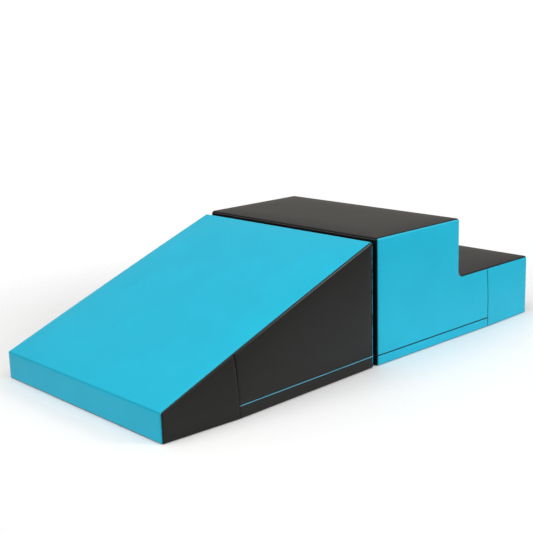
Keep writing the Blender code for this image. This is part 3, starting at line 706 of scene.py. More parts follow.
def new_piece(name, mesh, look, block, *nodes):
    """A finished piece that rides with a block and stands for CAD nodes."""
    material, slot = looks_of[look]
    piece = bpy.data.objects.new(name, mesh)
    mesh.materials.clear()
    mesh.materials.append(material)
    mesh.shade_smooth()
    looks.objects.link(piece)
    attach(piece, block.name)
    if nodes:
        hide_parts(*nodes)
    return piece


def flat_swell(share):
    """How far the mating face swells, from 0 at its ends to 1 over its flat middle."""
    outside = np.maximum(0, np.abs(share) - mating_flat_share) / (1 - mating_flat_share)
    return np.maximum(0, 1 - outside ** 2)


def on_mating_face(block, points):
    return np.abs(points[:, 0] - (block.mating_end + block.facing * edge_radius))


def crown_mating_face(block, points):
    """Swell the face that meets the other block, which is flat where the strips lie on it."""
    across = points[:, 1] / (block_width / 2 - edge_radius)
    low, high = block.bulge_height, block.mating_top
    lift = mating_crown * flat_swell(across) * flat_swell(2 * (points[:, 2] - low) / (high - low) - 1)
    lift[on_mating_face(block, points) > merge_distance] = 0
    points[:, 0] += block.facing * lift


def press_out(mesh, held):
    """Inflate a closed skin while its held points stay, and return where all its points end."""
    holder = add_object("pressed", mesh.copy())
    group = holder.vertex_groups.new(name="held")
    group.add([int(index) for index in np.flatnonzero(held)], 1.0, "REPLACE")
    cloth = holder.modifiers.new("cover", "CLOTH")
    for name, value in cloth_settings.items():
        setattr(cloth.settings, name, value)
    cloth.settings.effector_weights.gravity = 0
    cloth.point_cache.frame_start = 1
    cloth.point_cache.frame_end = swell_frames
    for number in range(1, swell_frames + 1):
        scene.frame_set(number)
    pressed = changed_mesh(holder)
    after = coordinates(pressed)
    scene.frame_set(1)
    bpy.data.objects.remove(holder)
    bpy.data.meshes.remove(pressed)
    return after


def swell_padding(block, body):
    """The block's foam, pressed out between its edges. The cover over it takes the same swell."""
    bm = bmesh.new()
    band, shape = body(body_net)
    add_band(bm, block, band, body_net)
    for side in (-1, 1):
        lay_side(bm, block, side, shape, body_net)
    face_outwards(bm, block.inside)
    normals = np.array([vert.normal for vert in bm.verts])
    bends = [max(vert.normal.angle(face.normal) for face in vert.link_faces) for vert in bm.verts]
    block.swell_polygons = [[vert.index for vert in face.verts] for face in bm.faces]
    mesh = mesh_from(bm, f"{block.name}_padding")
    points = coordinates(mesh)
    held = (np.array(bends) > held_bend) | (normals[:, 2] < -underside_lean)
    held |= on_mating_face(block, points) < merge_distance
    crown_mating_face(block, points)
    set_coordinates(mesh, points)
    pressed = press_out(mesh, held)
    lift = np.maximum(0, np.einsum("ij,ij->i", pressed - points, normals))
    caps = np.where(np.abs(normals[:, 1]) > side_lean, side_swell_cap, top_swell_cap)
    block.swell_moves = normals * (caps * np.tanh(lift / caps))[:, None]
    block.swell_moves[held] = 0
    block.swell_points = [Vector(point) for point in points]
    block.swell_tree = BVHTree.FromPolygons(block.swell_points, block.swell_polygons)

    relief = zip_relief * (np.abs(points[:, 2] - block.zip_height) < zip_relief_reach)
    set_coordinates(mesh, points + block.swell_moves - normals * (padding_depth + relief)[:, None])
    piece = new_piece(f"{block.name}_padding", mesh, "foam", block, f"{block.name}_foam_core")


def spread_swell(block, points):
    """The swell of the padding under each point of a cover."""
    moves = np.zeros_like(points)
    for index, point in enumerate(points):
        place, _, polygon, _ = block.swell_tree.find_nearest(Vector(point))
        corners = block.swell_polygons[polygon]
        weights = poly_3d_calc([block.swell_points[corner] for corner in corners], place)
        for weight, corner in zip(weights, corners):
            moves[index] += weight * block.swell_moves[corner]
    return moves * calm_by_zip(block, points)[:, None]


def calm_by_zip(block, points):
    """0 beside the zip, where the cover lies flat, and 1 away from it."""
    return np.clip((np.abs(points[:, 2] - block.zip_height) - zip_calm) / zip_calm_fade, 0, 1)


def seam_points(block, bm):
    """Points close together along a panel's sewn edges, each with how firmly it is drawn in."""
    points, firmness = [], []
    for rim in bm.edges:
        first, last = rim.verts[0].co, rim.verts[1].co
        middle = (first + last) / 2
        by_zip = block.slot_low - merge_distance < middle.z < block.slot_high + merge_distance
        if by_zip or not rim.is_boundary:
            continue
        count = max(1, math.ceil((last - first).length / seam_point_step))
        points += [first.lerp(last, step / count) for step in range(count)]
        across = abs(last.y - first.y) > abs(last.x - first.x) + abs(last.z - first.z)
        at_toe = across and middle.x < ramp_front + edge_radius and middle.z > toe_height / 2
        at_joint = not across and ramp_back - edge_radius < middle.x < ramp_back - edge_radius / 2
        firm = soft_toe_seam if at_toe else soft_joint_seam if at_joint else 1.0
        if middle.z < edge_radius / 2:
            firm = soft_base_seam
        firmness += [firm] * count
    return points, firmness


def seam_reaches(block, bm):
    """How far each point of a panel lies from its nearest seam, and how firm that seam is."""
    points, firmness = seam_points(block, bm)
    tree = KDTree(len(points))
    for index, point in enumerate(points):
        tree.insert(point, index)
    tree.balance()
    found = [tree.find(vert.co) for vert in bm.verts]
    return np.array([hit[2] for hit in found]), np.array([firmness[hit[1]] for hit in found])


def drape_cover(block, points, normals, reaches, firmness):
    """Draw a cover in at its seams, and give it the puckers and slow waves of sewn leather."""
    depth = seam_dip * np.exp(-((reaches / seam_dip_reach) ** 2))
    depth += draw_in * np.exp(-reaches / draw_in_reach)
    depth *= firmness
    waves = np.zeros(len(points))
    for index, point in enumerate(points):
        place = Vector(point)
        near = math.exp(-reaches[index] / pucker_reach)
        slow = 1 - math.exp(-reaches[index] / wave_fade)
        waves[index] = wave_size * slow * noise.noise(place / wave_length)
        if near > least_share:
            waves[index] += pucker_size * near * noise.noise(place / pucker_length)
    waves *= calm_by_zip(block, points)
    points += normals * (waves - depth)[:, None]


def thicken(piece, thickness):
    """Give a skin its thickness inwards, as real geometry."""
    change = piece.modifiers.new("thickness", "SOLIDIFY")
    change.thickness = thickness
    change.offset = -1
    old, piece.data = piece.data, changed_mesh(piece)
    piece.modifiers.clear()
    bpy.data.meshes.remove(old)
    piece.data.name = piece.name


def new_cover(block, node, bm, leather):
    """One sewn piece of cover in place of its CAD panel, with its thickness and drawn-in seams."""
    face_outwards(bm, block.inside)
    area = sum(face.calc_area() for face in bm.faces)
    reaches, firmness = seam_reaches(block, bm)
    normals = np.array([vert.normal for vert in bm.verts])
    mesh = mesh_from(bm, node)
    points = coordinates(mesh)
    crown_mating_face(block, points)
    points += spread_swell(block, points)
    drape_cover(block, points, normals, reaches, firmness)
    set_coordinates(mesh, points)
    # This distance, divided by the seam's firmness, places the leather's rubbed roughness, painted seam shade
    # and painted highlight.
    store = mesh.attributes.new("seam_reach", "FLOAT", "POINT")
    store.data.foreach_set("value", reaches / firmness)
    piece = new_piece(f"{node}_cover", mesh, leather, block, node)
    thicken(piece, cover_thickness)


def new_band(block, name, samples, net, leather):
    bm = bmesh.new()
    add_band(bm, block, samples, net)
    new_cover(block, f"{block.name}_{name}", bm, leather)


def cover_block(block, panels, band_leather, mating_leather, side_leather):
    """Lay every panel of a block's cover: the bands over its faces, then its side pieces."""
    bands, sides = panels
    for name, face, points, *ends in bands:
        leather = mating_leather if face == "mating" else band_leather
        new_band(block, name, block.panel(face, points, fine_net, *ends), fine_net, leather)
    new_band(block, "base_panel", block.base_panel(), plain_net, "grip")
    for side, side_name in ((-1, "near"), (1, "far")):
        for name, shape in sides.items():
            bm = bmesh.new()
            lay_side(bm, block, side, shape, fine_net)
            new_cover(block, f"{block.name}_{side_name}_{name}", bm, side_leather)


def linear(colour):
    """A colour given as it looks, from 0 to 255, as the shader takes it."""
    return (*Color([value / 255 for value in colour]).from_srgb_to_scene_linear(), 1)


def new_material(name, colour, roughness):
    """A material with its shader, ready for the nodes that vary it."""
    material = bpy.data.materials.new(name)
    material.use_nodes = True
    shader = material.node_tree.nodes["Principled BSDF"]
    shader.inputs["Base Color"].default_value = linear(colour)
    shader.inputs["Roughness"].default_value = roughness
    material.diffuse_color = linear(colour)
    return material, shader


def add_node(tree, kind, label, given=(), **settings):
    """A node with its settings, each given input set to a value or linked to an output."""
    node = tree.nodes.new(kind)
    node.label = label
    for name, value in settings.items():
        setattr(node, name, value)
    for socket, value in dict(given).items():
        if isinstance(value, bpy.types.NodeSocket):
            tree.links.new(value, node.inputs[socket])
        else:
            node.inputs[socket].default_value = value
    return node


def maths(tree, label, operation, *values):
    """The result of an operation on values or outputs."""
    return add_node(tree, "ShaderNodeMath", label, enumerate(values), operation=operation).outputs[0]


def ranged(tree, label, value, reach, start=0.0, end=1.0):
    """A value on its way through a reach, as one on the way from start to end."""
    sockets = {"Value": value, "From Min": reach[0], "From Max": reach[1], "To Min": start, "To Max": end}
    return add_node(tree, "ShaderNodeMapRange", label, sockets).outputs["Result"]


def pattern(tree, label, place, scale, detail=2.0):
    """Noise at a place."""
    sockets = {"Vector": place, "Scale": scale, "Detail": detail}
    return add_node(tree, "ShaderNodeTexNoise", label, sockets).outputs["Fac"]


def toned(tree, colour, shade):
    """A colour made lighter or darker."""
    sockets = {0: colour, "Scale": shade}
    return add_node(tree, "ShaderNodeVectorMath", "toned colour", sockets, operation="SCALE").outputs[0]


def axes(tree, label, vector):
    """The X, Y and Z outputs of a vector."""
    return add_node(tree, "ShaderNodeSeparateXYZ", label, {"Vector": vector}).outputs


def new_tree(name, kind, inputs, outputs):
    """A node group: its tree and its inputs. Inputs and outputs are given as kinds by name."""
    tree = bpy.data.node_groups.new(name, kind)
    for way, sockets in (("INPUT", inputs), ("OUTPUT", outputs)):
        for label, socket in sockets.items():
            tree.interface.new_socket(label, in_out=way, socket_type=f"NodeSocket{socket}")
    return tree, add_node(tree, "NodeGroupInput", "inputs").outputs


def new_surface(name, *numbers):
    """A surface group with its own numbers: the tree, its inputs and the place on the piece."""
    finishes = {"Colour": "Color", "Roughness": "Float"}
    inputs = {**finishes, **dict.fromkeys(numbers, "Float")}
    tree, given = new_tree(name, "ShaderNodeTree", inputs, {**finishes, "Height": "Float"})
    return tree, given, add_node(tree, "ShaderNodeTexCoord", "place on the piece").outputs["Object"]


def end_surface(tree, colour, roughness, height):
    add_node(tree, "NodeGroupOutput", "results", {"Colour": colour, "Roughness": roughness, "Height": height})
    return tree


def leather_group():
    """Grain and mottling of synthetic leather, smoother where rubbed by the seams, with painted shade in the
    seams and a painted highlight along upper edges, as colour, roughness and height.
    """
    tree, given, place = new_surface("leather_grain", "Scuff")
    grain_sockets = {"Vector": place, "Scale": grain_scale, "Smoothness": grain_smoothness}
    pebble = add_node(
        tree, "ShaderNodeTexVoronoi", "pebbled grain", grain_sockets, feature="SMOOTH_F1"
    ).outputs["Distance"]
    creases = pattern(tree, "fine creases", place, crease_scale, crease_detail)
    mottling = pattern(tree, "slow mottling", place, mottle_scale, mottle_detail)
    height = maths(tree, "grain height", "MULTIPLY_ADD", creases, crease_height, pebble)

    reach = add_node(
        tree, "ShaderNodeAttribute", "distance from the seam", attribute_name="seam_reach"
    ).outputs["Fac"]
    # Painted shade: the colour darkens towards each seam, for the shade in the seam's groove.
    painted_seam_shade = ranged(tree, "shade in the seam", reach, (0.0, seam_shade_reach), seam_shade)
    tone = ranged(tree, "mottled tone", mottling, (0.0, 1.0), 1 - mottle_tone, 1 + mottle_tone)
    shade = maths(tree, "tone and seam shade", "MULTIPLY", tone, painted_seam_shade)
    colour = toned(tree, given["Colour"], shade)

    # Painted highlight: a pale tone added along edges that face up, high on the block and a little clear of
    # the seams, for the light these rounded edges catch.
    normal = add_node(tree, "ShaderNodeNewGeometry", "surface").outputs["Normal"]
    upward = axes(tree, "upward part", normal)["Z"]
    high = axes(tree, "height on the block", place)["Z"]
    painted_highlight = given["Scuff"]
    for label, source, start_and_full in (
        ("clear of the seam", reach, painted_highlight_clear_of_seam),
        ("near the edge", reach, painted_highlight_near_edge),
        ("facing up", upward, painted_highlight_facing_up),
        ("not lying flat", upward, painted_highlight_not_flat),
        ("high on the block", high, painted_highlight_high_up),
    ):
        share = ranged(tree, label, source, start_and_full)
        painted_highlight = maths(tree, f"scuffed {label}", "MULTIPLY", painted_highlight, share)
    lighter = add_node(
        tree, "ShaderNodeVectorMath", "lighter where scuffed", {0: colour, 1: painted_highlight}, operation="ADD"
    ).outputs[0]

    wear = ranged(tree, "rubbed beside the seam", reach, (0.0, rubbed_reach), 1.0, 0.0)
    sheen = maths(
        tree, "roughness of the grain", "MULTIPLY_ADD", creases, crease_roughness, given["Roughness"]
    )
    rubbed = maths(tree, "smoother where rubbed", "MULTIPLY_ADD", wear, rubbed_roughness, sheen)
    return end_surface(tree, lighter, rubbed, height)


def woven_group():
    """Warp and weft of a narrow woven tape."""
    tree, given, place = new_surface("woven_tape", "Threads")
    parts = axes(tree, "along and up", place)
    along = maths(tree, "along the tape", "ADD", parts["X"], parts["Y"])
    waves = []
    for label, source in (("warp", along), ("weft", parts["Z"])):
        scaled = maths(tree, f"{label} spacing", "MULTIPLY", source, given["Threads"])
        waves.append(maths(tree, label, "SINE", scaled))
    weave = maths(tree, "over and under", "MULTIPLY", *waves)
    fuzz = pattern(tree, "fuzz", place, fuzz_scale)
    tone = ranged(tree, "thread tone", weave, (-1.0, 1.0), least_thread_tone)
    shade = maths(tree, "uneven tone", "MULTIPLY_ADD", fuzz, fuzz_tone, tone)
    dry = maths(tree, "fuzzy roughness", "MULTIPLY_ADD", fuzz, fuzz_roughness, given["Roughness"])
    return end_surface(tree, toned(tree, given["Colour"], shade), dry, weave)


def speckled_group():
    """A fine even grain with slow changes of tone, for metal, nylon, thread and foam."""
    tree, given, place = new_surface("speckled_surface", "Grain Scale", "Tone")
    speck = pattern(tree, "fine grain", place, given["Grain Scale"], speck_detail)
    slow = pattern(tree, "slow tone", place, slow_tone_scale)
    both = maths(tree, "grain and tone", "ADD", speck, slow)
    centred = maths(tree, "about none", "SUBTRACT", both, 1.0)
    shade = maths(tree, "shade", "MULTIPLY_ADD", centred, given["Tone"], 1.0)
    worn = maths(
        tree, "uneven roughness", "MULTIPLY_ADD", centred, uneven_roughness, given["Roughness"]
    )
    return end_surface(tree, toned(tree, given["Colour"], shade), worn, speck)


def finish(name, slot, group, colour, roughness, bump, settings):
    """A material whose colour, roughness and relief come from a surface group, and its slot."""
    material, shader = new_material(name, colour, roughness)
    tree = material.node_tree
    surface = add_node(tree, "ShaderNodeGroup", "surface", node_tree=group)
    for socket, value in {"Colour": linear(colour), "Roughness": roughness, **settings}.items():
        owner = surface if socket in surface.inputs else shader
        owner.inputs[socket].default_value = value
    tree.links.new(surface.outputs["Colour"], shader.inputs["Base Color"])
    tree.links.new(surface.outputs["Roughness"], shader.inputs["Roughness"])
    relief_sockets = {"Strength": bump, "Distance": relief_depth, "Height": surface.outputs["Height"]}
    relief = add_node(tree, "ShaderNodeBump", "relief", relief_sockets)
    tree.links.new(relief.outputs["Normal"], shader.inputs["Normal"])
    return material, slot


def repeat_tree():
    """Geometry nodes that set one small shape again and again along lines."""
    tree, given = new_tree("set_along_lines", "GeometryNodeTree", {
        "Geometry": "Geometry", "Shape": "Object", "Spacing": "Float", "Least Size": "Float",
        "Most Turn": "Float", "Seed": "Int", "Material": "Material",
    }, {"Geometry": "Geometry"})

    def geometry(kind, label, name="Geometry", **sockets):
        return add_node(tree, f"GeometryNode{kind}", label, sockets).outputs[name]

    def rotation(kind, label, sockets, **settings):
        return add_node(tree, f"FunctionNode{kind}", label, sockets, **settings).outputs["Rotation"]

    def uneven(label, least, most):
        sockets = {2: least, 3: most, "Seed": given["Seed"]}
        return add_node(tree, "FunctionNodeRandomValue", label, sockets, data_type="FLOAT").outputs[1]

    curve = geometry("MeshToCurve", "lines", "Curve", Mesh=given["Geometry"])
    place_sockets = {"Curve": curve, "Length": given["Spacing"]}
    places = add_node(
        tree, "GeometryNodeResampleCurve", "places at the spacing", place_sockets, mode="LENGTH"
    ).outputs["Curve"]
    tangent = geometry("InputTangent", "way of the line", "Tangent")
    outward = add_node(
        tree, "GeometryNodeInputNamedAttribute", "outward", {"Name": "outward"}, data_type="FLOAT_VECTOR"
    ).outputs["Attribute"]
    along = rotation("AlignRotationToVector", "along the line", {"Vector": tangent}, axis="X")
    sockets = {"Rotation": along, "Vector": outward}
    standing = rotation("AlignRotationToVector", "upright on the cloth", sockets, axis="Z", pivot_axis="X")
    least_turn = maths(tree, "least turn", "MULTIPLY", given["Most Turn"], -1.0)
    turn = uneven("uneven turn", least_turn, given["Most Turn"])
    spin = rotation("AxisAngleToRotation", "turn about outward", {"Axis": (0, 0, 1), "Angle": turn})
    sockets = {"Rotation": standing, "Rotate By": spin}
    turned_shape = rotation("RotateRotation", "turned", sockets, rotation_space="LOCAL")
    size = uneven("uneven size", given["Least Size"], 1.0)
    shape = geometry("ObjectInfo", "shape", Object=given["Shape"])
    copies = geometry(
        "InstanceOnPoints", "copies", "Instances",
        Points=places, Instance=shape, Rotation=turned_shape, Scale=size,
    )
    real = geometry("RealizeInstances", "real copies", Geometry=copies)
    painted = geometry("SetMaterial", "material", Geometry=real, Material=given["Material"])
    add_node(tree, "NodeGroupOutput", "result", {"Geometry": painted})
    return tree


def lines_mesh(paths):
    """Open lines of points, each point with its outward direction."""
    mesh = bpy.data.meshes.new("lines")
    points, edges, outwards = [], [], []
    for path in paths:
        first = len(points)
        points += [place for place, _ in path]
        outwards += [outward for _, outward in path]
        edges += [(index, index + 1) for index in range(first, len(points) - 1)]
    mesh.from_pydata(points, edges, [])
    store = mesh.attributes.new("outward", "FLOAT_VECTOR", "POINT")
    store.data.foreach_set("vector", np.array(outwards, dtype=np.float32).ravel())
    return mesh


def close_tube(bm, rings):
    """Faces between rings of points, and over both ends."""
    for ring, following in zip(rings, rings[1:]):
        for step in range(len(ring)):
            after = (step + 1) % len(ring)
            bm.faces.new((ring[step], ring[after], following[after], following[step]))
    bm.faces.new(rings[0][::-1])
    bm.faces.new(rings[-1])


def rod_mesh(name, rods, sides=6):
    """Small rounded rods, each through a list of (point, radius)."""
    bm = bmesh.new()
    for stations in rods:
        rings = []
        for index, (place, radius) in enumerate(stations):
            before = Vector(stations[max(index - 1, 0)][0])
            after = Vector(stations[min(index + 1, len(stations) - 1)][0])
            turn = (after - before).to_track_quat("Z", "Y")
            ring = []
            for step in range(sides):
                angle = 2 * math.pi * step / sides
                reach = Vector((radius * math.cos(angle), radius * math.sin(angle), 0))
                ring.append(bm.verts.new(Vector(place) + turn @ reach))
            rings.append(ring)
        close_tube(bm, rings)
    return mesh_from(bm, name)


def ribbon_mesh(name, path, low, high, thickness, steps=2):
    """A closed flat ribbon along a path, between two heights from the path's own."""
    bm = bmesh.new()
    heights = [low + (high - low) * step / steps for step in range(steps + 1)]
    around = [(height, 0) for height in heights] + [(height, thickness) for height in heights[::-1]]
    close_tube(bm, [
        [bm.verts.new(place + Vector((0, 0, height)) - depth * outward) for height, depth in around]
        for place, outward in path
    ])
    bmesh.ops.recalc_face_normals(bm, faces=bm.faces)
    return mesh_from(bm, name)


def repeated(paths, shape, spacing, look, least_size=1.0, most_turn=0.0, seed=1):
    """One plain mesh with a small shape set along lines."""
    shape_holder, holder = add_object("shape", shape), add_object("lines", lines_mesh(paths))
    change = holder.modifiers.new("set along lines", "NODES")
    change.node_group = along_lines
    values = {
        "Shape": shape_holder,
        "Spacing": spacing,
        "Least Size": least_size,
        "Most Turn": most_turn,
        "Seed": seed,
        "Material": looks_of[look][0],
    }
    for socket in along_lines.interface.items_tree:
        if socket.in_out == "INPUT" and socket.name in values:
            change[socket.identifier] = values[socket.name]
    mesh = changed_mesh(holder)
    for item in (holder, shape_holder):
        data = item.data
        bpy.data.objects.remove(item)
        bpy.data.meshes.remove(data)
    return mesh


def joined(name, *meshes):
    """Several meshes as one."""
    bm = bmesh.new()
    for mesh in meshes:
        bm.from_mesh(mesh)
        bpy.data.meshes.remove(mesh)
    return mesh_from(bm, name)


def zip_path(block, depth, starts):
    """The zip's way round a block at one depth, from the near seam to the far one."""
    reach = edge_radius - depth
    half = block.half_width(block.mating_end, block.zip_height)
    ways = []
    for side, start in zip((-1, 1), starts):
        way = []
        for x in lines(block.seam + block.facing * start, block.mating_end, zip_run_step)[:-1]:
            across = block.half_width(x, block.zip_height) + reach
            way.append((Vector((x, side * across, block.zip_height)), Vector((0, side, 0))))
        centre = Vector((block.mating_end, side * half, block.zip_height))
        for step in range(zip_bend_steps + 1):
            angle = math.pi / 2 * (1 - step / zip_bend_steps)
            outward = Vector((block.facing * math.cos(angle), side * math.sin(angle), 0))
            way.append((centre + reach * outward, outward))
        ways.append(way)
    return ways[0] + ways[1][::-1]


def make_zip(block, colour):
    """Woven tapes and the closed coil of one block's zip. Its slider and stops are the CAD ones."""
    tape_path = zip_path(block, tape_depth, (0, 0))
    for name, low in (("upper", zip_slot / 2), ("lower", -zip_slot / 2 - tape_height)):
        node = f"{block.name}_zip_{name}_tape"
        mesh = ribbon_mesh(node, tape_path, low, low + tape_height, tape_thickness)
        new_piece(f"{node}_cloth", mesh, f"{colour}_tape", block, node)
    half = chain_width / 2
    backing_path = zip_path(block, chain_depth, chain_starts)
    backing = ribbon_mesh("backing", backing_path, -half, half, chain_backing)
    tooth = [
        ((tooth_lead, half - tooth_thin, -tooth_radius), tooth_thin),
        ((tooth_lead, half * tooth_heel_share, 0), tooth_radius),
        ((0, 0, 0), tooth_radius),
        ((-tooth_lead, -half * tooth_head_share, 0), tooth_head),
        ((-tooth_lead, -half * tooth_tip_share, 0), tooth_thin),
    ]
    other = [((x + coil_pitch / 2, -y, z), radius) for (x, y, z), radius in tooth]
    shape = rod_mesh("tooth", [tooth, other])
    teeth = repeated([zip_path(block, tooth_depth, chain_starts)], shape, coil_pitch, f"{colour}_coil")
    node = f"{block.name}_zip_chain"
    new_piece(f"{node}_coil", joined(node, backing, teeth), f"{colour}_coil", block, node)


def side_seams(block, outline, depth):
    """The lines of the seams round both side faces, and of the upright seam across each."""
    paths = []
    for side in (-1, 1):
        around = []
        for inner, normal, wrap in outline:
            along = math.cos(wrap)
            outward = Vector((normal.x * along, side * math.sin(wrap), normal.y * along))
            around.append((block.skin(inner, normal, wrap, side, depth), outward))
        paths.append(around)
        paths.append([
            (block.skin(inner, TOP, math.pi / 2, side, depth), Vector((0, side, 0)))
            for inner in upright(block.seam, lines(edge_radius, block.roof(block.seam), across_step))
        ])
    return paths


def band_seams(block, depth):
    """The lines of the seams across the band, each on the middle of a corner."""
    paths = []
    for corner in block.corners.values():
        inner, normal, _ = corner.at(1 / 2)
        outward = Vector((normal.x, 0, normal.y))
        shares = (-1, -0.5, 0, 0.5, 1)
        paths.append([(block.flat(inner, normal, share, depth), outward) for share in shares])
    return paths


def make_threads(block, outline):
    """The stitches that show in the block's seams."""
    depth = seam_dip + draw_in - thread_radius
    half = stitch_length / 2
    stitch = [
        ((-stitch_lean, -half, -thread_radius), thread_radius / 2),
        ((-stitch_lean / 2, -half / 2, 0), thread_radius),
        ((stitch_lean / 2, half / 2, 0), thread_radius),
        ((stitch_lean, half, -thread_radius), thread_radius / 2),
    ]
    shape = rod_mesh("stitch", [stitch])
    paths = side_seams(block, outline, depth) + band_seams(block, depth)
    mesh = repeated(paths, shape, stitch_pitch, "thread", stitch_least_size, stitch_turn, stitch_seed)
    mesh.name = f"{block.name}_seam_thread"
    new_piece(f"{block.name}_seam_thread", mesh, "thread", block)


def make_strip(node, block, look, rods, seed):
    """A hook or loop strip: a woven ground with its hooks or loops standing on it."""
    low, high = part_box(node)
    outward = Vector((block.facing, 0, 0))
    face_x = (low.x if block.facing > 0 else high.x) + block.facing * strip_ground
    ground = [(Vector((face_x, y, (low.z + high.z) / 2)), outward) for y in (low.y, high.y)]
    half = (high.z - low.z) / 2
    base = ribbon_mesh("ground", ground, -half, half, strip_ground, strip_steps)
    inset = pile_pitch / 2
    rows = [
        [(Vector((face_x, y, z)), outward) for z in (low.z + inset, high.z - inset)]
        for y in lines(low.y + inset, high.y - inset, pile_pitch)
    ]
    shape = rod_mesh("pile", [rods], 4)
    mesh = repeated(rows, shape, pile_pitch, look, pile_least_size, pile_turn, seed)
    pile = new_piece(f"{node}_pile", mesh, look, block)
    tape = new_piece(f"{node}_tape", base, look, block, node)


def ramp_outline():
    """Samples round the ramp's outline, from the base's mating end over the slope to its toe."""
    far, near = ramp.far_end, ramp.mating_end
    return ramp.around((
        ("toe", upright(far, (edge_radius, slope_line(far)))),
        ("slope", sloped(lines(far, near, plain_net.run))),
        ("mating", upright(near, (slope_line(near), edge_radius))),
    ), plain_net)[::-1]


def steps_outline():
    """Samples round the steps' outline, from the mating face over the top to the low end."""
    outline = StepsLines(plain_net)
    return steps.around((
        ("mating", upright(steps.mating_end, (edge_radius, steps.mating_top))),
        ("top", outline.top),
        ("riser", outline.riser[::-1]),
        ("tread", level((outline.fold_down[-1].x, steps.far_end), outline.tread)),
        ("end", upright(steps.far_end, (outline.tread, edge_radius))),
    ), plain_net)


grain, weave, speckle = leather_group(), woven_group(), speckled_group()
# Settings of each leather: its specular level and how strong its painted highlight is.
leather = {"Specular IOR Level": leather_specular, "Scuff": 0.045}
painted_highlight = {"Specular IOR Level": leather_specular, "Scuff": 0.1}
# Painted shade: the joint face's leather reflects less, as if in shade.
shaded = {"Specular IOR Level": 0.06, "Scuff": 0.08}
nylon = {"Grain Scale": 2400.0, "Tone": 0.2}
foam_cells = {"Grain Scale": 1400.0, "Tone": 0.3, "Specular IOR Level": 0.1}
dry_cloth = {"Threads": 5000.0, "Specular IOR Level": 0.15}
fine_threads = {"Threads": 9000.0, "Specular IOR Level": 0.15}
polished = {"Metallic": 0.9, "Grain Scale": 3000.0, "Tone": 0.25}

# Each look's material and slot: name, slot, surface, colour, roughness, relief and other settings
looks_of = {
    "blue": finish("blue_cover_leather", "blue_leather", grain, (8, 180, 211), 0.36, 0.12, leather),
    "black": finish("black_cover_leather", "black_leather", grain, (18, 17, 15), 0.36, 0.12, painted_highlight),
    # Painted shade: the steps' joint face takes a darker, duller copy of the black leather, for the shade
    # between the blocks.
    "joint_black_painted_shade": finish("joint_face_leather", "black_leather", grain, (14, 13, 12), 0.5, 0.12, shaded),
    "grip": finish("base_grip_cloth", "grip_fabric", weave, (30, 30, 32), 0.75, 0.6, dry_cloth),
    "foam": finish("core_foam", "foam", speckle, (226, 219, 196), 0.9, 0.8, foam_cells),
    "blue_tape": finish("blue_zip_tape", "blue_zip", weave, (30, 140, 172), 0.7, 0.5, fine_threads),
    "black_tape": finish("black_zip_tape", "black_zip", weave, (20, 21, 23), 0.7, 0.5, fine_threads),
    "blue_coil": finish("blue_zip_coil", "blue_zip", speckle, (105, 205, 232), 0.4, 0.1, nylon),
    "black_coil": finish("black_zip_coil", "black_zip", speckle, (18, 19, 21), 0.4, 0.1, nylon),
    "thread": finish("seam_thread", "black_leather", speckle, (16, 17, 19), 0.6, 0.3, nylon),
    "hooks": finish("hook_cloth", "hook_tape", weave, (22, 22, 24), 0.6, 0.3, dry_cloth),
    "loops": finish("loop_cloth", "hook_tape", weave, (26, 26, 28), 0.85, 0.3, dry_cloth),
}
zip_metal, _ = finish("zip_hardware", None, speckle, (116, 117, 120), 0.3, 0.05, polished)
swell_padding(ramp, ramp_body)
swell_padding(steps, steps_body)
cover_block(ramp, ramp_panels(), "blue", "blue", "black")
cover_block(steps, steps_panels(), "black", "joint_black_painted_shade", "blue")

along_lines = repeat_tree()
make_zip(ramp, "blue")
make_zip(steps, "black")
make_threads(ramp, ramp_outline())
make_threads(steps, steps_outline())
thin = pile_radius / 2
hook = [
    ((0, 0, 0), pile_radius),
    ((0, 0, pile_shank), pile_radius),
    ((pile_radius, 0, pile_rise), pile_radius),
    ((3 * pile_radius, 0, hook_tip), thin),
]
loop = [
    ((-2 * pile_radius, 0, 0), thin),
    ((-2 * pile_radius, 0, pile_shank), thin),
    ((0, 0, pile_rise), thin),
    ((2 * pile_radius, 0, pile_shank), thin),
    ((2 * pile_radius, 0, 0), thin),
]
for index, name in enumerate(("upper", "lower")):
    make_strip(f"ramp_hook_strip_{name}", ramp, "hooks", hook, hook_seed + index)
    make_strip(f"steps_loop_strip_{name}", steps, "loops", loop, loop_seed + index)
for block in (ramp, steps):
    for piece in ("slider", "pull", "near_stop", "far_stop"):
        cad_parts[f"{block.name}_zip_{piece}"].data.materials[0] = zip_metal


def stage_floor():
    """A pale floor that keeps the soft shadow and fades away at a distance from the object."""
    bm = bmesh.new()
    bmesh.ops.create_grid(bm, x_segments=floor_steps, y_segments=floor_steps, size=floor_fade[1])
    floor = add_object("floor", mesh_from(bm, "floor"))
    material, shader = new_material("floor", floor_colour, floor_roughness)
    tree = material.node_tree
    place = add_node(tree, "ShaderNodeTexCoord", "place on the floor").outputs["Object"]
    reach = add_node(
        tree, "ShaderNodeVectorMath", "distance from the object", {0: place}, operation="LENGTH"
    ).outputs["Value"]
    fade = ranged(tree, "fade with distance", reach, floor_fade, 1.0, 0.0)
    tree.links.new(fade, shader.inputs["Alpha"])
    floor.data.materials.append(material)
    floor.location.z = -floor_drop


def add_lamp(name, place, target, size, power, colour):
    lamp = bpy.data.lights.new(name, "AREA")
    lamp.shape = "SQUARE"
    lamp.size = size
    lamp.energy = power
    lamp.color = colour
    holder = add_object(name, lamp)
    holder.location = place
    holder.rotation_euler = (Vector(target) - Vector(place)).to_track_quat("-Z", "Y").to_euler()


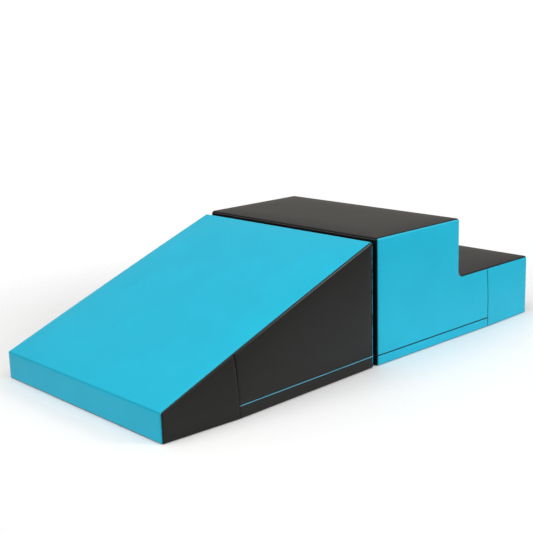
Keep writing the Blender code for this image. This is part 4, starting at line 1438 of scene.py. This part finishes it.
def white_surroundings():
    """White all round: full white to the camera, and as light dimmer behind the camera."""
    world = bpy.data.worlds.new("studio")
    world.use_nodes = True
    tree = world.node_tree
    tree.nodes.clear()
    way = add_node(tree, "ShaderNodeTexCoord", "way out").outputs["Object"]
    ways = {0: way, 1: Vector(camera_place).normalized()}
    behind = add_node(
        tree, "ShaderNodeVectorMath", "towards the camera", ways, operation="DOT_PRODUCT"
    ).outputs["Value"]
    wall = ranged(tree, "before the warm wall", behind, wall_reach)
    tint = add_node(
        tree, "ShaderNodeMix", "warm wall", {"Factor": wall, "A": white, "B": wall_tint}, data_type="RGBA"
    ).outputs["Result"]
    dim = ranged(tree, "dimmer behind the camera", behind, dim_reach, world_strength, dim_strength)
    lit = add_node(tree, "ShaderNodeBackground", "light", {"Color": tint, "Strength": dim})
    seen = add_node(tree, "ShaderNodeBackground", "seen white", {"Color": white})
    camera_ray = add_node(tree, "ShaderNodeLightPath", "who looks").outputs["Is Camera Ray"]
    pick = add_node(
        tree, "ShaderNodeMixShader", "white to the camera",
        {"Fac": camera_ray, 1: lit.outputs["Background"], 2: seen.outputs["Background"]},
    )
    add_node(tree, "ShaderNodeOutputWorld", "surroundings", {"Surface": pick.outputs["Shader"]})
    scene.world = world


def place_camera():
    """The photograph's view."""
    camera = bpy.data.cameras.new("photo_view")
    camera.sensor_width = film_width
    camera.lens = camera_focus * film_width / photo_size
    azimuth, elevation, roll = (math.radians(angle) for angle in camera_angles)
    flat = math.cos(elevation)
    ahead = Vector((math.sin(azimuth) * flat, math.cos(azimuth) * flat, -math.sin(elevation)))
    right = Vector((math.cos(azimuth), -math.sin(azimuth), 0))
    above = right.cross(ahead)
    rolled_right = math.cos(roll) * right + math.sin(roll) * above
    rolled_above = math.cos(roll) * above - math.sin(roll) * right
    turn = Matrix((rolled_right, rolled_above, -ahead)).transposed()
    scene.camera = add_object("photo_view", camera)
    scene.camera.matrix_world = Matrix.Translation(camera_place) @ turn.to_4x4()


stage_floor()
white_surroundings()
add_lamp("overhead", place=(-1.5, -0.6, 2.9), target=(0, 0, 0), size=4.6, power=104, colour=(1, 0.995, 0.985))
add_lamp("key", place=(1.2, -2.5, 1.6), target=(0, 0, 0.2), size=0.9, power=31.5, colour=(1, 1, 1))
place_camera()
scene.view_settings.view_transform = "Standard"
